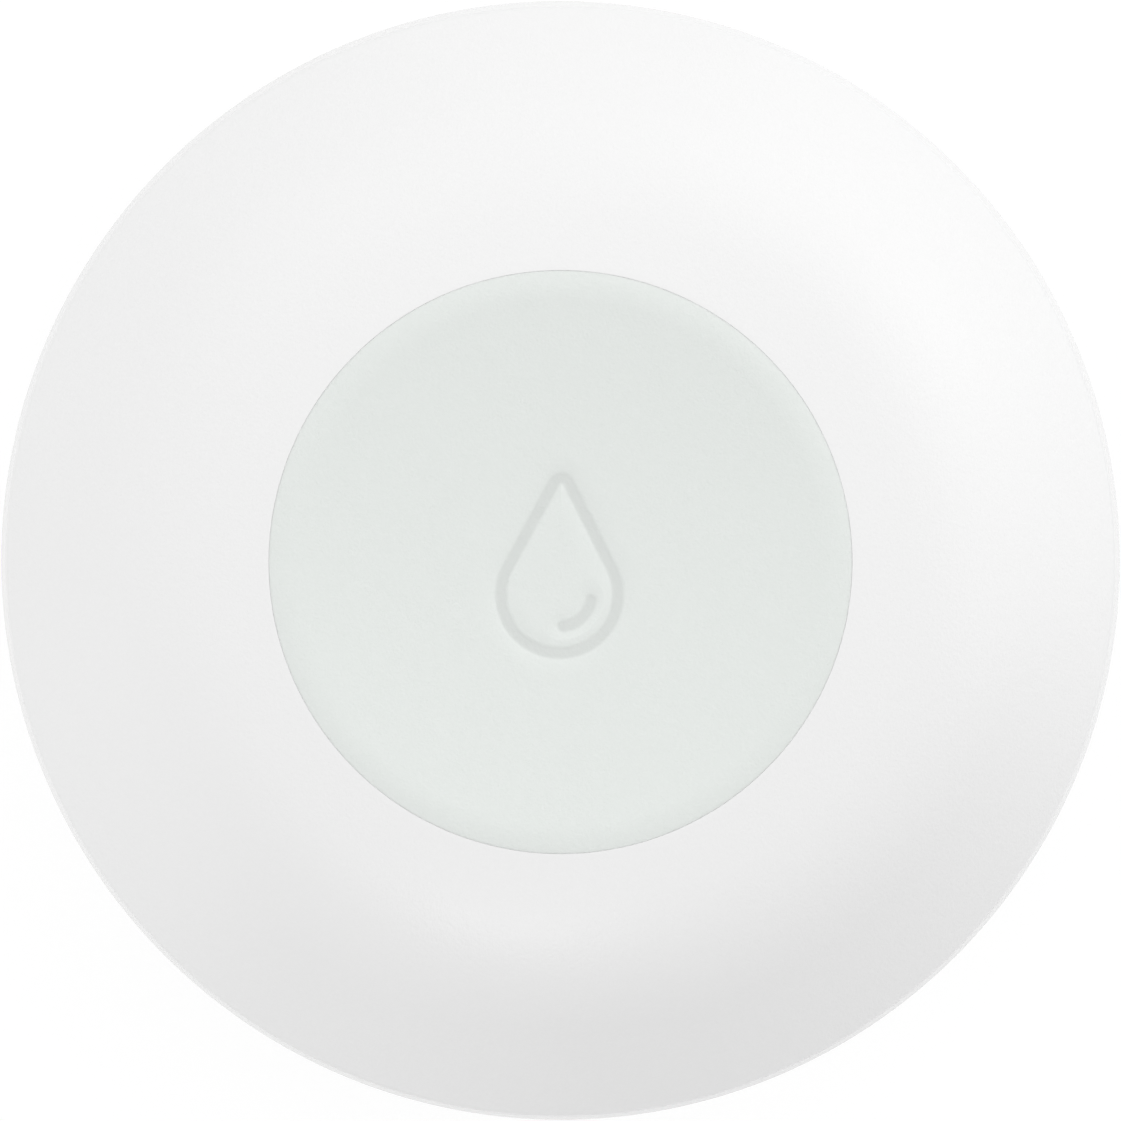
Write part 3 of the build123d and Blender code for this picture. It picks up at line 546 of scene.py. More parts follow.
def cell_jacket(name, colours):
    """Foil jacket with a coloured band, and bare steel where the mark says so."""
    finish = Finish(name, colours.jacket, 0.3)
    x, y = finish.axes()[:2]
    bare = finish.mark().between(0.45, 0.55)
    heading = (x > 0.0) * 2.0 - 1.0
    toward = y * heading * -1.0
    band = toward.between(11.9 * MM, 12.1 * MM)
    line = toward.between(11.2 * MM, 11.3 * MM) - toward.between(11.5 * MM, 11.6 * MM)
    scuff = finish.noise(0.7 * MM, 4.0, 0.6, finish.stretched(1.0, 0.2, 1.0))
    paint = finish.blend(band, colours.jacket, colours.band)
    paint = finish.blend(line, paint, (0.7, 0.7, 0.7))
    worn = finish.blend(scuff.between(0.66, 0.8) * 0.35, paint, (0.6, 0.6, 0.6))
    finish.give(Base_Color=finish.blend(bare, worn, (0.60, 0.59, 0.57)),
                Metallic=0.35 + bare * 0.65, Roughness=0.28 + scuff * 0.14)
    return finish.bump(scuff * (2 * MICRON))


def board_laminate(name, colours):
    """Green solder mask over copper tracks, with the laminate's pale edge."""
    finish = Finish(name, colours.board, 0.25)
    x, y = finish.axes()[:2]
    tracks = finish.node("ShaderNodeTexBrick", {"offset": 0.37, "squash": 1.0}, {
        "Vector": finish.place(), "Scale": 1 / (1.1 * MM), "Mortar Size": 0.12, "Mortar Smooth": 0.2,
        "Brick Width": 3.7, "Row Height": 0.9}, output="Fac")
    cloud = finish.noise(6 * MM, 2.0)
    weave = finish.noise(0.16 * MM, 2.0)
    copper = tracks * cloud.between(0.42, 0.5)
    lit = [min(1.0, part * 1.9) for part in colours.board]
    edge = (x * x + y * y).root().between(26.70 * MM, 26.76 * MM)
    mask = finish.blend(copper, colours.board, lit)
    finish.give(Base_Color=finish.blend(edge, mask, (0.42, 0.38, 0.20)),
                Roughness=0.22 + edge * 0.5 + weave * 0.1)
    return finish.bump(copper * (25 * MICRON) + weave * (2 * MICRON))


# Slot: name, colour, roughness, grain in millimetres and its depth in microns
PLAIN_PLASTICS = {
    "seal_silicone": ("seal rubber", (0.27, 0.28, 0.28), 0.5, 0.12, 4),
    "plate_plastic": ("frosted plate", (0.72, 0.74, 0.72), 0.55, 0.20, 6),
    "holder_plastic": ("holder black", (0.011, 0.011, 0.013), 0.48, 0.22, 10),
    "sounder_plastic": ("sounder black", (0.007, 0.007, 0.008), 0.38, 0.15, 5),
    "switch_plastic": ("switch black", (0.014, 0.014, 0.014), 0.45, 0.12, 4),
    "plunger_plastic": ("plunger cream", (0.69, 0.66, 0.54), 0.42, 0.12, 3),
    "lamp_lens": ("lamp lens", (0.80, 0.80, 0.70), 0.22, 0.30, 2),
    "chip_resin": ("chip resin", (0.008, 0.008, 0.010), 0.55, 0.08, 5),
    "capacitor_resin": ("capacitor resin", (0.57, 0.32, 0.035), 0.40, 0.10, 4),
    "antenna_ceramic": ("antenna ceramic", (0.72, 0.72, 0.68), 0.35, 0.10, 3),
    "membrane_film": ("membrane film", (0.82, 0.82, 0.80), 0.65, 0.06, 6),
}
# Slot: name, colour, roughness, the axis that its lines run along and their depth in microns
BRUSHED_METALS = {
    "spring_steel": ("spring wire", (0.46, 0.45, 0.43), 0.34, 2, 1.0),
    "screw_steel": ("zinc plate", (0.58, 0.59, 0.61), 0.36, 0, 0.8),
    "contact_nickel": ("nickel plate", (0.62, 0.59, 0.54), 0.28, 2, 0.8),
    "shield_tin": ("shield tin", (0.60, 0.60, 0.58), 0.32, 0, 1.2),
    "diaphragm_brass": ("diaphragm brass", (0.62, 0.44, 0.17), 0.25, 1, 0.8),
}
OWN_FINISHES = {
    "shell_plastic": ("shell white", shell_plastic), "base_plastic": ("base white", base_plastic),
    "cap_silicone": ("sage silicone", cap_silicone), "probe_steel": ("turned steel", probe_steel),
    "seal_foam": ("grey foam", seal_foam), "cell_jacket": ("cell jacket", cell_jacket),
    "board_laminate": ("solder mask", board_laminate),
}


def finish_of(slot):
    """The material for one of the record's material slots, made when it is first asked for."""
    name, *values = {**PLAIN_PLASTICS, **BRUSHED_METALS, **OWN_FINISHES}[slot]
    if name in bpy.data.materials:
        return bpy.data.materials[name]
    if slot in OWN_FINISHES:
        return values[0](name, bpy.context.scene.alarm_colours).material
    if slot in BRUSHED_METALS:
        colour, roughness, along, depth = values
        return Finish(name, colour, roughness, 1.0).brushed(along, depth * MICRON).material
    colour, roughness, grain, depth = values
    return Finish(name, colour, roughness).moulded(grain * MM, depth * MICRON).material


# Shapes

# Sizes that the boxes of the nodes don't tell; a recess is its length, width and depth
BASE_SCREW = {
    "head_radius": 2.2 * MM, "head_height": 1.6 * MM, "head_round": 0.5 * MM, "shank_radius": 1.25 * MM,
    "shank_length": 9.5 * MM, "tip": 0.6 * MM, "recess": (2.6 * MM, 0.6 * MM, 0.9 * MM), "steps": 64}
BOARD_SCREW = {
    "head_radius": 1.8 * MM, "head_height": 1.3 * MM, "head_round": 0.4 * MM, "shank_radius": 1.0 * MM,
    "shank_length": 4.2 * MM, "recess": (2.0 * MM, 0.5 * MM, 0.7 * MM), "steps": 48}
BOSS_BORE, BOSS_RADIUS = 1.3 * MM, 2.5 * MM
POST_BORE, POST_RADIUS = 1.05 * MM, 2.2 * MM
PROBE_RADIUS, PROBE_HEAD, STEM_RADIUS, STEM_HOLE = 3.0 * MM, 1.0 * MM, 1.2 * MM, 1.25 * MM
GASKET_RADIUS, WASHER_RADIUS, SPRING_RADIUS = 2.9 * MM, 2.6 * MM, 1.85 * MM
NUB_RADIUS, NUB_LENGTH = 1.9 * MM, 0.8 * MM
STRIP_HALF_WIDTH, STRIP_THICKNESS = 3.8 * MM, 0.3 * MM


def places(node, radius):
    """The middles of a node's four round pieces, which stand in the corners of its box."""
    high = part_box(node)[1]
    x, y = high.x - radius, high.y - radius
    return [(-x, -y), (-x, y), (x, -y), (x, y)]


def crown(shell, depth=0.0, steps=26):
    """Points of the shell's crown, from the opening to the flank, at a depth under its skin. It is
    two arcs: on each, the radius grows with the sine of the slope and the height falls with its
    cosine, times the arc's own radius, and the depth is taken along the normal."""
    flank = shell.radius - shell.crease_inset - shell.flank_run
    ends = [shell.opening_radius, shell.opening_radius + shell.rim_run, flank]
    slopes = [shell.rim_slope, shell.shoulder_slope, shell.flank_slope]
    height, skin = shell.rim_z, []
    for index, count in enumerate((10, steps)):
        slope = np.linspace(slopes[index], slopes[index + 1], count)
        out, up = np.sin(slope), np.cos(slope)
        arc = (ends[index + 1] - ends[index]) / (out[-1] - out[0])
        radius, z = ends[index] + arc * (out - out[0]), height - arc * (up[0] - up)
        height = z[-1]
        skin.append(np.stack([radius - depth * out, z - depth * up], -1)[index:])
    return np.concatenate(skin)


def shell_outline(shell):
    """The shell's section: well and ledge, crown, crease, wall and foot, then back inside it."""
    skin, inside = crown(shell), crown(shell, shell.thickness)[::-1]
    fall = math.tan(shell.flank_slope)
    crease_radius = shell.radius - shell.crease_inset
    crease_z = skin[-1, 1] - (crease_radius - skin[-1, 0]) * fall
    lean = shell.crease_inset / (crease_z - shell.foot_z)
    inner_foot = shell.radius - shell.thickness
    flank_rise = inside[0, 1] - shell.foot_z + inside[0, 0] * fall
    inner_radius = (inner_foot - lean * flank_rise) / (1 - lean * fall)
    inner_crease = (inner_radius, inside[0, 1] - (inner_radius - inside[0, 0]) * fall)
    collar = shell.opening_radius + shell.collar_thickness
    ledge = shell.opening_radius - shell.ledge_width
    under = shell.ledge_z - shell.ledge_thickness
    ceiling = np.interp(collar, inside[::-1, 0], inside[::-1, 1])
    inside = inside[inside[:, 0] > collar + 0.1 * MM]
    corners = [
        (ledge, under, 0.1 * MM), (ledge, shell.ledge_z, 0.1 * MM),
        (shell.opening_radius, shell.ledge_z, 0.2 * MM), (*skin[0], 0.02 * MM),
        *((*point, 0) for point in skin[1:]),
        (crease_radius, crease_z, 0.45 * MM), (shell.radius, shell.foot_z, 0.2 * MM),
        (inner_foot, shell.foot_z, 0.15 * MM), (*inner_crease, 0.6 * MM),
        *((*point, 0) for point in inside),
        (collar, ceiling, 0.4 * MM), (collar, under, 0.1 * MM)]
    return eased(corners, 6)


def stand(shell, place, inner, outer, low, steps):
    """A tube that stands up into the crown, with an eased mouth. Its section goes round its own
    axis, and where that would pass the middle of the crown's wall it stops at that middle."""
    middle = crown(shell, shell.thickness / 2)
    beyond, edge = 5 * MM, 0.15 * MM
    past = middle[-1] + np.array([beyond, -beyond * math.tan(shell.flank_slope)])
    middle = np.concatenate([middle, [past]])
    section = [(inner, low, edge), (outer, low, edge), (outer, shell.rim_z, 0), (inner, shell.rim_z, 0)]
    grid = turned(eased(section, 3), steps, place)
    top = np.interp(np.hypot(grid[..., 0], grid[..., 1]), middle[:, 0], middle[:, 1])
    grid[..., 2] = np.minimum(grid[..., 2], top)
    return grid


def film_grid(radius, low, high, centre, steps=96):
    """A thin round film, glued flat along its rim. Inside the rim its height swells by a sixth of
    its room times the sine of three times the turn, more where it is far from middle and rim."""
    across = np.array([0, 0.2, 0.4, 0.55, 0.7, 0.8, 0.9, 1.0])
    swell = np.clip(1 - (across / 0.8) ** 2, 0, 1) * across * 4
    turn = np.arange(steps) * TAU / steps
    wave = (high - low) / 6 * swell[:, None] * np.sin(3 * turn)
    low_side, high_side = low + (high - low) * 0.25, high - (high - low) * 0.25
    rim = np.full((1, steps), (low_side + high_side) / 2)
    height = np.concatenate([low_side + wave, rim, (high_side + wave)[::-1]])
    reach = np.concatenate([across * 0.99, [1.0], across[::-1] * 0.99])[:, None] * radius
    x, y = centre[0] + reach * np.cos(turn), centre[1] + reach * np.sin(turn)
    return np.stack([x, y, height], axis=-1)


def drop_line(drop, from_top, away):
    """How far from the drop's centre a ray meets the line that runs this far outside the middle of
    the groove. The drop is a large circle and a small one for the tip, joined by the two lines
    that touch both. The ray is given by its angle from +Y. It meets a side at the large radius
    over the cosine of its angle from the side's normal. It meets the tip at the tip's distance
    times the cosine of the ray's angle, plus the root of the small radius squared less the square
    of that distance times the sine."""
    large, small = drop.drop_radius + away, drop.drop_tip + away
    sine, cosine = math.sin(drop.drop_angle), math.cos(drop.drop_angle)
    tip = (drop.drop_radius - drop.drop_tip) / sine
    off_side = np.abs(math.pi / 2 - from_top - drop.drop_angle)
    straight = large / np.cos(np.minimum(math.pi / 2 - drop.drop_angle, off_side))
    within = np.maximum(small ** 2 - (tip * np.sin(from_top)) ** 2, 0)
    round_tip = tip * np.cos(from_top) + np.sqrt(within)
    on_tip = from_top < math.atan2(small * cosine, tip + small * sine)
    on_side = from_top < math.pi / 2 - drop.drop_angle
    return np.where(on_tip, round_tip, np.where(on_side, straight, large))


def drop_distance(drop, x, y):
    """How far a place is outside the middle line of the drop's groove, negative inside it. The
    place is given from the drop's centre. Beside the lines that touch both circles it is the
    distance to the line, and past their ends the distance to the nearer circle."""
    sine, cosine = math.sin(drop.drop_angle), math.cos(drop.drop_angle)
    tip = (drop.drop_radius - drop.drop_tip) / sine
    x = np.abs(x)
    along = y * cosine - x * sine
    large = np.hypot(x, y) - drop.drop_radius
    small = np.hypot(x, y - tip) - drop.drop_tip
    side = x * cosine + y * sine - drop.drop_radius
    return np.where(along < 0, large, np.where(along > cosine * tip, small, side))


def glint_distance(drop, x, y):
    """Distance from the middle line of the short arc. Beside the arc it is the difference of the
    radii. Past its ends it is the distance to the end itself, by the law of cosines."""
    middle = drop.glint_start + drop.glint_turn / 2
    turn = np.abs(np.angle(np.exp(1j * (np.arctan2(y, x) - middle))))
    beyond = np.maximum(turn - drop.glint_turn / 2, 0)
    radius = np.hypot(x, y)
    square = radius ** 2 + drop.glint_radius ** 2 - 2 * radius * drop.glint_radius * np.cos(beyond)
    return np.where(beyond > 0, np.sqrt(square), np.abs(radius - drop.glint_radius))


def groove_fall(drop, distance):
    """How far the surface lies down at a distance from a groove's middle line: the whole depth on
    its floor, none outside its walls, and a shallow shoulder beside it that fades out."""
    half, edge = drop.groove_width / 2, drop.groove_edge / 2
    wall = 1 - smooth_step(distance, half - edge, half + edge)
    shoulder = (1 - np.clip((distance - half) / drop.shoulder_width, 0, 1)) ** 2
    return (drop.groove_depth - drop.shoulder_depth) * wall + drop.shoulder_depth * shoulder


def drop_rings(drop, side):
    """How far from the drop's centre each ring lies on each ray: even circles inside the short
    arc, close ones over it, rings that change from circle to drop, close ones over the groove and
    ever wider ones beside it. Their distances from the arc and the groove are in millimetres."""
    circles = np.concatenate([
        np.linspace(0, drop.glint_radius - 0.49 * MM, 5),
        drop.glint_radius + np.linspace(-0.42, 0.49, 14) * MM])
    groove = [*np.linspace(-0.45, 0.45, 21), 0.53, 0.62, 0.73, 0.86, 1.0, 1.2, 1.45]
    outer = [drop_line(drop, side, away * MM) for away in groove]
    change = [circles[-1] + (outer[0] - circles[-1]) * t for t in np.linspace(0, 1, 13)[1:-1]]
    return [np.full(len(side), radius) for radius in circles] + change + outer


def cap_edge(drop):
    """The radius of the dish's arc, where it ends, and radii and heights of the cap's edge. The dish
    touches the arc of the rolled edge, so the distance between their centres is the sum of their
    radii. A small arc then turns the edge down into the skirt."""
    end = math.sin(drop.roll_slope)
    crest = drop.radius - drop.corner * (1 - end) - drop.roll * end
    dish_arc = (crest ** 2 + drop.dish ** 2) / (2 * drop.dish) - drop.roll
    touch = math.asin(crest / (dish_arc + drop.roll))
    roll = np.linspace(-touch, drop.roll_slope, 14)[1:]
    corner = np.linspace(drop.roll_slope, math.pi / 2, 6)[1:]
    radii = [crest + drop.roll * np.sin(roll), drop.radius - drop.corner * (1 - np.sin(corner))]
    fall = drop.roll * (1 - np.cos(roll))
    falls = [fall, fall[-1] + drop.corner * (math.cos(drop.roll_slope) - np.cos(corner))]
    dish_edge = crest - drop.roll * math.sin(touch)
    return dish_arc, dish_edge, np.concatenate(radii), drop.crest_z - np.concatenate(falls)


def near_groove(drop, x, y):
    """How near a place on the cap is to the middle line of the drop's groove or of the short arc,
    whichever is nearer. Both lean with the drop about its centre."""
    cosine, sine = math.cos(drop.drop_turn), math.sin(drop.drop_turn)
    aside, above = x + drop.drop_aside, y + drop.drop_below
    aside, above = aside * cosine - above * sine, aside * sine + above * cosine
    return np.minimum(np.abs(drop_distance(drop, aside, above)), glint_distance(drop, aside, above))


def cap_grid(drop, steps=512):
    """The cap as one closed grid. Its rings start round the drop's centre, follow the groove, and
    open into circles about the button's axis, out over the rolled edge and back underneath. A ray
    from the drop's centre meets such a circle at less its share of that centre, plus the square
    root of that share squared, less the centre's distance squared, plus the radius squared. The
    height is that of the dish, an arc carried round, less the fall of the grooves. Each point also
    holds how much painted shade the groove gets there: 1 in the middle of a groove and 0 beside it.
    The rays crowd at the drop's tip."""
    crowding, spread, margin = 0.72, 1.25, 0.9 * MM
    even = np.arange(steps) * TAU / steps
    from_top = even - crowding * np.sin(even)
    ray = math.pi / 2 - from_top - drop.drop_turn
    centre_x, centre_y = -drop.drop_aside, -drop.drop_below
    reach = drop_rings(drop, np.minimum(from_top, TAU - from_top))
    dish_arc, dish_edge, edge_radius, edge_z = cap_edge(drop)
    flat_edge = dish_edge - margin
    toward = centre_x * np.cos(ray) + centre_y * np.sin(ray)
    outer = -toward + np.sqrt(toward ** 2 - centre_x ** 2 - centre_y ** 2 + flat_edge ** 2)
    last = reach[-1]
    reach += [last + (outer - last) * t ** spread for t in np.linspace(0, 1, 22)[1:]]
    reach = np.stack(reach)
    x, y = centre_x + reach * np.cos(ray), centre_y + reach * np.sin(ray)
    turn = np.arctan2(y[-1], x[-1])
    wide = np.concatenate([np.linspace(flat_edge, dish_edge, 5)[1:], edge_radius])
    x = np.concatenate([x, wide[:, None] * np.cos(turn)])
    y = np.concatenate([y, wide[:, None] * np.sin(turn)])
    across = np.hypot(x, y)
    z = drop.crest_z - drop.dish + dish_arc - np.sqrt(np.maximum(dish_arc ** 2 - across ** 2, 0))
    z[-len(edge_z):] = edge_z[:, None]
    near = near_groove(drop, x, y)
    z = z - groove_fall(drop, near)
    # Mask of the painted shade in the grooves: 1 on a groove's floor, 0 beside it.
    groove_shade = 1 - smooth_step(near, drop.groove_width * 0.3, drop.groove_width * 0.7)
    foot, inner = 0.1 * MM, drop.radius - drop.skirt
    back = np.array([
        (drop.radius, drop.foot_z + foot), (drop.radius - foot, drop.foot_z), (inner, drop.foot_z),
        (inner, drop.under_z), (0, drop.under_z)])
    x = np.concatenate([x, back[:, :1] * np.cos(turn)])
    y = np.concatenate([y, back[:, :1] * np.sin(turn)])
    z = np.concatenate([z, np.broadcast_to(back[:, 1:], (len(back), steps))])
    groove_shade = np.concatenate([groove_shade, np.zeros((len(back), steps))])
    return np.stack([x, y, z], axis=-1), groove_shade


def cross_fall(x, y, length, width, depth):
    """How deep a cross recess is at a place on a screw's head: its depth times the greater of two
    bars, each of which falls by smooth steps to its ends and to its sides."""
    def bar(a, b):
        """1 on a bar that lies along the first of the two axes, falling to 0 beside it."""
        ends = 1 - smooth_step(np.abs(a), length * 0.32, length * 0.5)
        return ends * (1 - smooth_step(np.abs(b), width * 0.35, width * 0.6))
    return depth * np.maximum(bar(x, y), bar(y, x))


def screw_grid(low, head_radius, head_height, head_round, shank_radius, shank_length, recess,
               pitch=0.0, thread=0.0, tip=0.0, steps=64):
    """A screw with its head down: rings over the head with its cross recess, round its edge, and
    up the shank. The shank's radius is less by the thread's depth times a triangle wave of height
    over pitch less the turn, which makes a helix."""
    turn = np.arange(steps) * TAU / steps
    flat = np.linspace(0, head_radius - head_round, 30)
    arc = np.linspace(0, math.pi / 2, 6)[1:]
    edge = eased([(0, 0, 0), (head_radius, 0, 0), (head_radius, head_height, 0.1 * MM),
                  (shank_radius, head_height, 0.15 * MM)], 4)
    edge = edge[(edge[:, 0] > shank_radius * 0.99) & (edge[:, 1] > head_round)]
    radius = np.concatenate([flat, head_radius - head_round * (1 - np.sin(arc)), edge[:, 0]])
    height = np.concatenate([flat * 0, head_round * (1 - np.cos(arc)), edge[:, 1]])
    radius = np.broadcast_to(radius[:, None], (len(radius), steps))
    height = np.broadcast_to(height[:, None], radius.shape)
    fall = cross_fall(radius * np.cos(turn), radius * np.sin(turn), *recess)
    height = height + np.where(height < head_round * 0.5, fall, 0)
    rise = np.linspace(0.15 * MM, shank_length, 90 if thread else 12)[:, None]
    around = np.broadcast_to(rise, (len(rise), steps))
    if thread:
        phase = (rise / pitch - turn / TAU) % 1
        crest = 1 - np.abs(2 * phase - 1)
        cut = thread * np.clip((1 - crest) * 1.5 - 0.1, 0, 1)
        cut = cut * smooth_step(rise, 0.3 * MM, 1.2 * MM)
    else:
        cut = np.zeros((len(rise), steps))
    narrow = tip * smooth_step(rise, shank_length - 1.6 * tip, shank_length + 0.6 * tip) if tip else 0
    shank = np.maximum(shank_radius - np.maximum(cut, narrow), 0.1 * MM)
    radius = np.concatenate([radius, shank, np.zeros((1, steps))])
    end = np.full((1, steps), head_height + shank_length)
    height = np.concatenate([height, head_height + around, end])
    return np.stack([radius * np.cos(turn), radius * np.sin(turn), low + height], axis=-1)


def plate_grid(x, y, z, half_x, half_z, thickness, corner=0.5 * MM, edge=0.06 * MM):
    """An upright plate with round corners that faces along Y, as one closed grid: its outline is
    drawn in towards the middle on both faces and eased at its edges."""
    outline = ring(-half_x, half_x, -half_z, half_z, corner, 7)[None]
    inward = unit(outline) * edge
    rows = [outline * 0, outline - inward, outline, outline, outline - inward, outline * 0]
    depths = np.array([0, 0, edge, thickness - edge, thickness, thickness])
    flat = np.concatenate(rows)
    deep = np.broadcast_to(depths[:, None], flat.shape[:2])
    return np.stack([x + flat[..., 0], y + deep, z + flat[..., 1]], axis=-1)


def cell_outline(radius, back, nub, heading):
    """A cell's section from its flat end to its nub, which heads along +Y or -Y. The jacket turns
    in over both ends, and the bare steel lies a little deeper inside it."""
    inset, front = 0.25 * MM * heading, nub - heading * NUB_LENGTH
    return eased([
        (0, back + inset, 0), (radius - 1.6 * MM, back + inset, 0.1 * MM),
        (radius - 1.3 * MM, back, 0.1 * MM), (radius, back, 0.5 * MM), (radius, front, 0.5 * MM),
        (radius - 1.0 * MM, front, 0.1 * MM), (radius - 1.2 * MM, front - inset, 0.1 * MM),
        (2.4 * MM, front - inset, 0.1 * MM), (NUB_RADIUS, front, 0.1 * MM), (NUB_RADIUS, nub, 0.3 * MM),
        (0, nub, 0)])


# Operators

class ALARM_OT_shell(bpy.types.Operator):
    """Build the upper shell with its screw bosses and board posts"""
    bl_idname = "alarm.shell"
    bl_label = "Upper shell"

    def execute(self, context):
        sizes = context.scene.alarm_shell
        boss_low, board_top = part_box("top_shell")[0].z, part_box("circuit_board")[1].z
        shape = Shape().spin(shell_outline(sizes), 400)
        for place in places("base_screws", BASE_SCREW["head_radius"]):
            shape.add(stand(sizes, place, BOSS_BORE, BOSS_RADIUS, boss_low, 48), closed_rows=True)
        for place in places("board_screws", BOARD_SCREW["head_radius"]):
            shape.add(stand(sizes, place, POST_BORE, POST_RADIUS, board_top, 40), closed_rows=True)
        shape.build("shell", "housing", "shell_plastic", "top_shell")
        return {"FINISHED"}


class ALARM_OT_cap(bpy.types.Operator):
    """Build the dished button cap with the drop pressed into it"""
    bl_idname = "alarm.cap"
    bl_label = "Button cap"

    def execute(self, context):
        # The mark carries the mask of the painted shade in the grooves.
        grid, groove_shade = cap_grid(context.scene.alarm_button)
        Shape().add(grid, mark=groove_shade).build(
            "cap", "test_button", "cap_silicone", "button_cap", smooth=ROUND_ANGLE)
        return {"FINISHED"}


class ALARM_OT_seals(bpy.types.Operator):
    """Build the soft rings under the button, round the base, on the probes and at the sounder, and
    the film over the sound holes"""
    bl_idname = "alarm.seals"
    bl_label = "Seals"

    def execute(self, context):
        low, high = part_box("button_seal")
        outer = context.scene.alarm_shell.opening_radius - 0.03 * MM
        outline = ring(high.x - 1.8 * MM, outer, low.z, high.z, 0.4 * MM, 5)
        seal = Shape().spin(outline, 160).build("button_ring", "housing", "seal_foam", "button_seal")
        travel = next(joint["range_m"][1] for joint in frame["joints"] if joint["name"] == "button_press")
        keep = 1 - travel / (high.z - low.z)
        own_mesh(seal)
        low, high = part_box("perimeter_seal")
        cord, around = (high.z - low.z) / 2, np.arange(20) * TAU / 20
        middle = np.array([high.x - cord, low.z + cord])
        outline = middle + cord * np.stack([np.cos(around), np.sin(around)], axis=-1)
        Shape().spin(outline, 240).build("base_cord", "base", "seal_silicone", "perimeter_seal")
        low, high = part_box("probe_gaskets")
        grid = turned(ring(STEM_HOLE, GASKET_RADIUS, low.z, high.z, 0.15 * MM), 56)
        Shape().at_corners("probe_gaskets", GASKET_RADIUS, grid, closed_rows=True).build(
            "probe_rings", "base", "seal_silicone", "probe_gaskets")
        low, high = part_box("sounder_gasket")
        outline = ring(3.8 * MM, 6.0 * MM, low.z, high.z, 0.3 * MM, 4)
        Shape().spin(outline, 72, ((low.x + high.x) / 2, 0.0)).build(
            "sounder_ring", "housing", "seal_foam", "sounder_gasket")
        low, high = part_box("sound_membrane")
        centre = ((low.x + high.x) / 2, (low.y + high.y) / 2)
        Shape().add(film_grid((high.x - low.x) / 2, low.z, high.z, centre)).build(
            "membrane_disc", "base", "membrane_film", "sound_membrane")
        return {"FINISHED"}


class ALARM_OT_probes(bpy.types.Operator):
    """Build the turned probe feet and their washers"""
    bl_idname = "alarm.probes"
    bl_label = "Probe feet"

    def execute(self, context):
        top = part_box("probe_feet")[1].z
        outline = eased([
            (0, 0.06 * MM, 0), (0.9 * MM, 0.06 * MM, 0.2 * MM), (1.1 * MM, 0, 0.2 * MM),
            (PROBE_RADIUS, 0, 0.35 * MM), (PROBE_RADIUS, PROBE_HEAD, 0.08 * MM),
            (STEM_RADIUS, PROBE_HEAD, 0.03 * MM), (STEM_RADIUS, top, 0.2 * MM), (0, top, 0)], 6)
        Shape().at_corners("probe_feet", PROBE_RADIUS, turned(outline, 96), mark=outline[:, :1]).build(
            "probe_heads", "base", "probe_steel", "probe_feet")
        low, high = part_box("probe_washers")
        grid = turned(ring(STEM_HOLE, WASHER_RADIUS, low.z, high.z, 0.08 * MM), 56)
        Shape().at_corners("probe_washers", WASHER_RADIUS, grid, closed_rows=True).build(
            "washers", "base", "spring_steel", "probe_washers")
        return {"FINISHED"}


class ALARM_OT_springs(bpy.types.Operator):
    """Wind the four coil springs that stand on the probe feet"""
    bl_idname = "alarm.springs"
    bl_label = "Probe springs"

    def execute(self, context):
        sizes = context.scene.alarm_inside
        low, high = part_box("probe_springs")
        wound = coil(sizes.spring_turns, low.z, high.z, SPRING_RADIUS, SPRING_RADIUS, sizes.spring_wire)
        Shape().at_corners("probe_springs", SPRING_RADIUS, wound).build(
            "coil_springs", "housing", "spring_steel", "probe_springs", smooth=ROUND_ANGLE)
        return {"FINISHED"}


class ALARM_OT_screws(bpy.types.Operator):
    """Cut the base screws with their threads, and the board screws"""
    bl_idname = "alarm.screws"
    bl_label = "Screws"

    def execute(self, context):
        sizes = context.scene.alarm_inside
        thread = {"pitch": sizes.screw_pitch, "thread": sizes.thread_depth}
        kinds = (("base_screws", "base_fixings", "base", {**BASE_SCREW, **thread}),
                 ("board_screws", "board_fixings", "housing", BOARD_SCREW))
        for node, name, body, screw in kinds:
            grid = screw_grid(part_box(node)[0].z, **screw)
            Shape().at_corners(node, screw["head_radius"], grid).build(name, body, "screw_steel", node)
        return {"FINISHED"}


class ALARM_OT_cells(bpy.types.Operator):
    """Build the two cells and the contacts at their ends"""
    bl_idname = "alarm.cells"
    bl_label = "Cells and contacts"

    def execute(self, context):
        for node, heading in (("battery_left", 1), ("battery_right", -1)):
            low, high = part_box(node)
            radius, cell_x, cell_z = (high.x - low.x) / 2, (low.x + high.x) / 2, (low.z + high.z) / 2
            back, nub = (low.y, high.y) if heading > 0 else (high.y, low.y)
            outline = cell_outline(radius, back, nub, heading)
            bare = (outline[:, :1] < radius - 0.55 * MM).astype(float)
            Shape().add(laid(outline, 96, cell_x, cell_z), mark=bare).build(
                node + "_cell", "housing", "cell_jacket", node)
        wire = context.scene.alarm_inside.contact_wire
        turns = context.scene.alarm_inside.cone_turns
        cone = coil(turns, 0, 3.0 * MM, 3.6 * MM, 1.8 * MM, wire, dead=0.7, steps=40, sides=10)
        strips = [
            ("battery_link", 0.0, cell_x + STRIP_HALF_WIDTH, 1, cell_x),
            ("negative_contact", -cell_x, STRIP_HALF_WIDTH, -1, -cell_x),
            ("positive_contact", cell_x, STRIP_HALF_WIDTH, -1, None)]
        for node, x, half, side, spring_x in strips:
            low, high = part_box(node)
            start = high.y - STRIP_THICKNESS if side > 0 else low.y
            middle, half_height = (low.z + high.z) / 2, (high.z - low.z) / 2
            shape = Shape().add(plate_grid(x, start, middle, half, half_height, STRIP_THICKNESS))
            if spring_x is not None:
                inner = start if side > 0 else start + STRIP_THICKNESS
                along = inner - side * cone[..., 2]
                shape.add(np.stack([spring_x + cone[..., 0], along, cell_z + cone[..., 1]], axis=-1))
            shape.build(node + "_strip", "housing", "contact_nickel", node, smooth=STRIP_ANGLE)
        return {"FINISHED"}


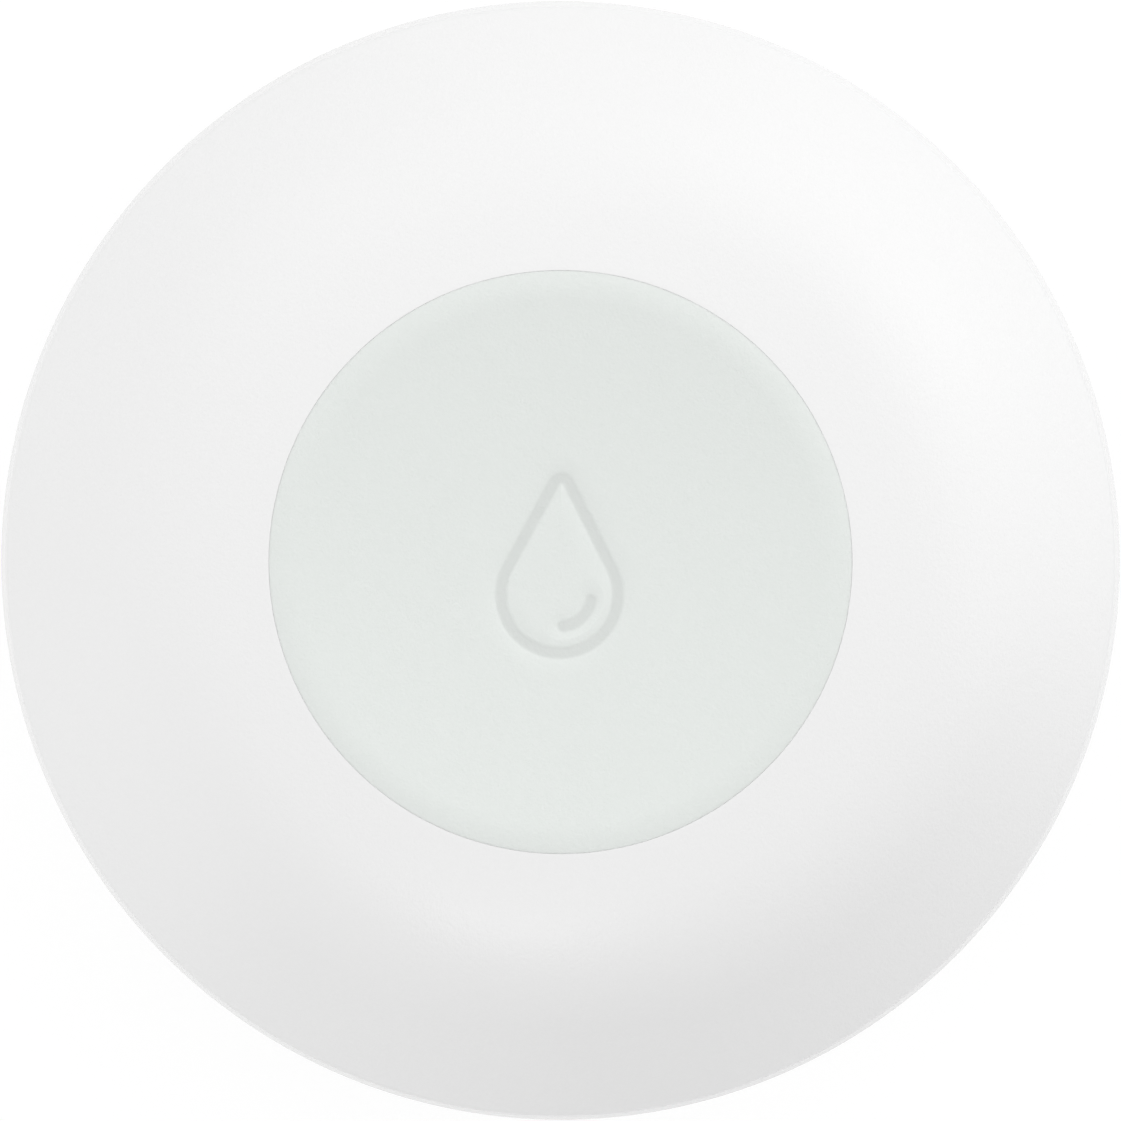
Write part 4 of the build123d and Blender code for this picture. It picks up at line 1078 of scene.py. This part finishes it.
class ALARM_OT_carried(bpy.types.Operator):
    """Give every solid that stays visible its finish"""
    bl_idname = "alarm.carried"
    bl_label = "Carried solids"

    def execute(self, context):
        slots = {part["node"]: part["material_slot"] for part in frame["record"]["subparts"]}
        for name, node in nodes.items():
            if node.hide_render:
                continue
            for entry in node.material_slots:
                entry.link = "OBJECT"
                entry.material = finish_of(slots[name])
        return {"FINISHED"}


class ALARM_OT_stage(bpy.types.Operator):
    """Lay the floor and set the lights, the world and the camera"""
    bl_idname = "alarm.stage"
    bl_label = "Stage"

    def way(self, turn, rise):
        """A direction by its turn from +X and its height over the floor. Its x and y are the
        height's cosine times the turn's cosine and sine, and its z is the height's sine."""
        across = math.cos(rise)
        return Vector((across * math.cos(turn), across * math.sin(turn), math.sin(rise)))

    def add_floor(self, scene, sizes):
        """A pale floor that a camera, a reflection and a clear piece see as nearly white."""
        half = sizes.floor_half
        corners = [(-half, -half, 0), (half, -half, 0), (half, half, 0), (-half, half, 0)]
        mesh = bpy.data.meshes.new("floor")
        mesh.from_pydata(corners, [], [(0, 1, 2, 3)])
        floor = bpy.data.objects.new("floor", mesh)
        scene.collection.objects.link(floor)
        finish = Finish("floor paper", scene.alarm_colours.floor, 0.9)
        finish.moulded(0.6 * MM, 5 * MICRON, drift=0.004)
        camera, glossy, through = finish.rays("Camera", "Glossy", "Transmission")
        white = finish.node("ShaderNodeEmission", sockets={
            "Color": (1, 1, 1, 1), "Strength": sizes.floor_glow})
        mixed = finish.node("ShaderNodeMixShader", sockets={
            0: (camera + glossy + through) * sizes.floor_white,
            1: Signal(finish, finish.shader.outputs[0]), 2: white})
        finish.set(finish.tree.nodes["Material Output"], "Surface", mixed)
        mesh.materials.append(finish.material)

    def add_sky(self, scene, sizes):
        """A white world that a camera sees as plain white. Its light falls smoothly from the dark
        side's reach in to its core, by the cosine of the angle from the middle of that side."""
        scene.world = bpy.data.worlds.new("studio")
        sky = NodeTree(scene.world)
        middle = self.way(sizes.dark_turn, sizes.dark_rise)
        near = sky.node("ShaderNodeVectorMath", {"operation": "DOT_PRODUCT"},
                        {0: sky.place(), 1: middle}, output="Value")
        shade = near.between(math.cos(sizes.dark_reach), math.cos(sizes.dark_core))
        light = sizes.world - shade * sizes.dark
        camera, through = sky.rays("Camera", "Transmission")
        background = sky.tree.nodes["Background"]
        sky.set(background, "Color", (1, 1, 1, 1))
        sky.set(background, "Strength", light + (camera + through) * (1.0 - light))

    def add_lamp(self, scene, sizes, name):
        """A soft lamp that shines on the alarm from its direction."""
        data = bpy.data.lights.new(name, "SUN")
        data.energy, data.angle = getattr(sizes, name), getattr(sizes, name + "_width")
        lamp = bpy.data.objects.new(name, data)
        away = self.way(getattr(sizes, name + "_turn"), getattr(sizes, name + "_rise"))
        lamp.location = away
        lamp.rotation_euler = away.to_track_quat("Z", "Y").to_euler()
        scene.collection.objects.link(lamp)

    def add_camera(self, scene, sizes):
        """A camera over the alarm that is aimed at the height of the shell's foot."""
        data = bpy.data.cameras.new("camera")
        data.sensor_width = SENSOR_WIDTH
        data.lens = SENSOR_WIDTH / 2 / sizes.field
        data.clip_end = 10
        camera = bpy.data.objects.new("camera", data)
        camera.location = (0, sizes.camera_back, sizes.camera_height)
        fall = sizes.camera_height - scene.alarm_shell.foot_z
        camera.rotation_euler = (-math.atan2(sizes.camera_back, fall), 0, 0)
        scene.collection.objects.link(camera)
        scene.camera = camera

    def execute(self, context):
        scene, sizes = context.scene, context.scene.alarm_stage
        self.add_floor(scene, sizes)
        self.add_sky(scene, sizes)
        for name in LAMPS:
            self.add_lamp(scene, sizes, name)
        self.add_camera(scene, sizes)
        scene.view_settings.view_transform = "Standard"
        return {"FINISHED"}


class ALARM_PT_panel(bpy.types.Panel):
    """Lists the steps that build the alarm"""
    bl_idname = "ALARM_PT_panel"
    bl_label = "Leak alarm"
    bl_space_type = "VIEW_3D"
    bl_region_type = "UI"
    bl_category = "Leak alarm"

    def draw(self, context):
        for operator in OPERATORS:
            self.layout.operator(operator.bl_idname)


OPERATORS = (
    ALARM_OT_shell, ALARM_OT_cap, ALARM_OT_seals, ALARM_OT_probes, ALARM_OT_springs, ALARM_OT_screws,
    ALARM_OT_cells, ALARM_OT_carried, ALARM_OT_stage)
GROUPS = {
    "alarm_shell": ShellSizes, "alarm_button": ButtonSizes, "alarm_inside": InsideSizes,
    "alarm_colours": Colours, "alarm_stage": StageSizes}


def register():
    """Register every class and hang the property groups on the scene."""
    for made in (*GROUPS.values(), *OPERATORS, ALARM_PT_panel):
        bpy.utils.register_class(made)
    for name, group in GROUPS.items():
        setattr(bpy.types.Scene, name, PointerProperty(type=group))


def unregister():
    """Take off the property groups and every class."""
    for name in GROUPS:
        delattr(bpy.types.Scene, name)
    for made in (ALARM_PT_panel, *reversed(OPERATORS), *GROUPS.values()):
        bpy.utils.unregister_class(made)


def main():
    """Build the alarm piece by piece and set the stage."""
    register()
    bpy.ops.alarm.shell()
    bpy.ops.alarm.cap()
    bpy.ops.alarm.seals()
    bpy.ops.alarm.probes()
    bpy.ops.alarm.springs()
    bpy.ops.alarm.screws()
    bpy.ops.alarm.cells()
    bpy.ops.alarm.carried()
    bpy.ops.alarm.stage()


if __name__ == "__main__":
    main()
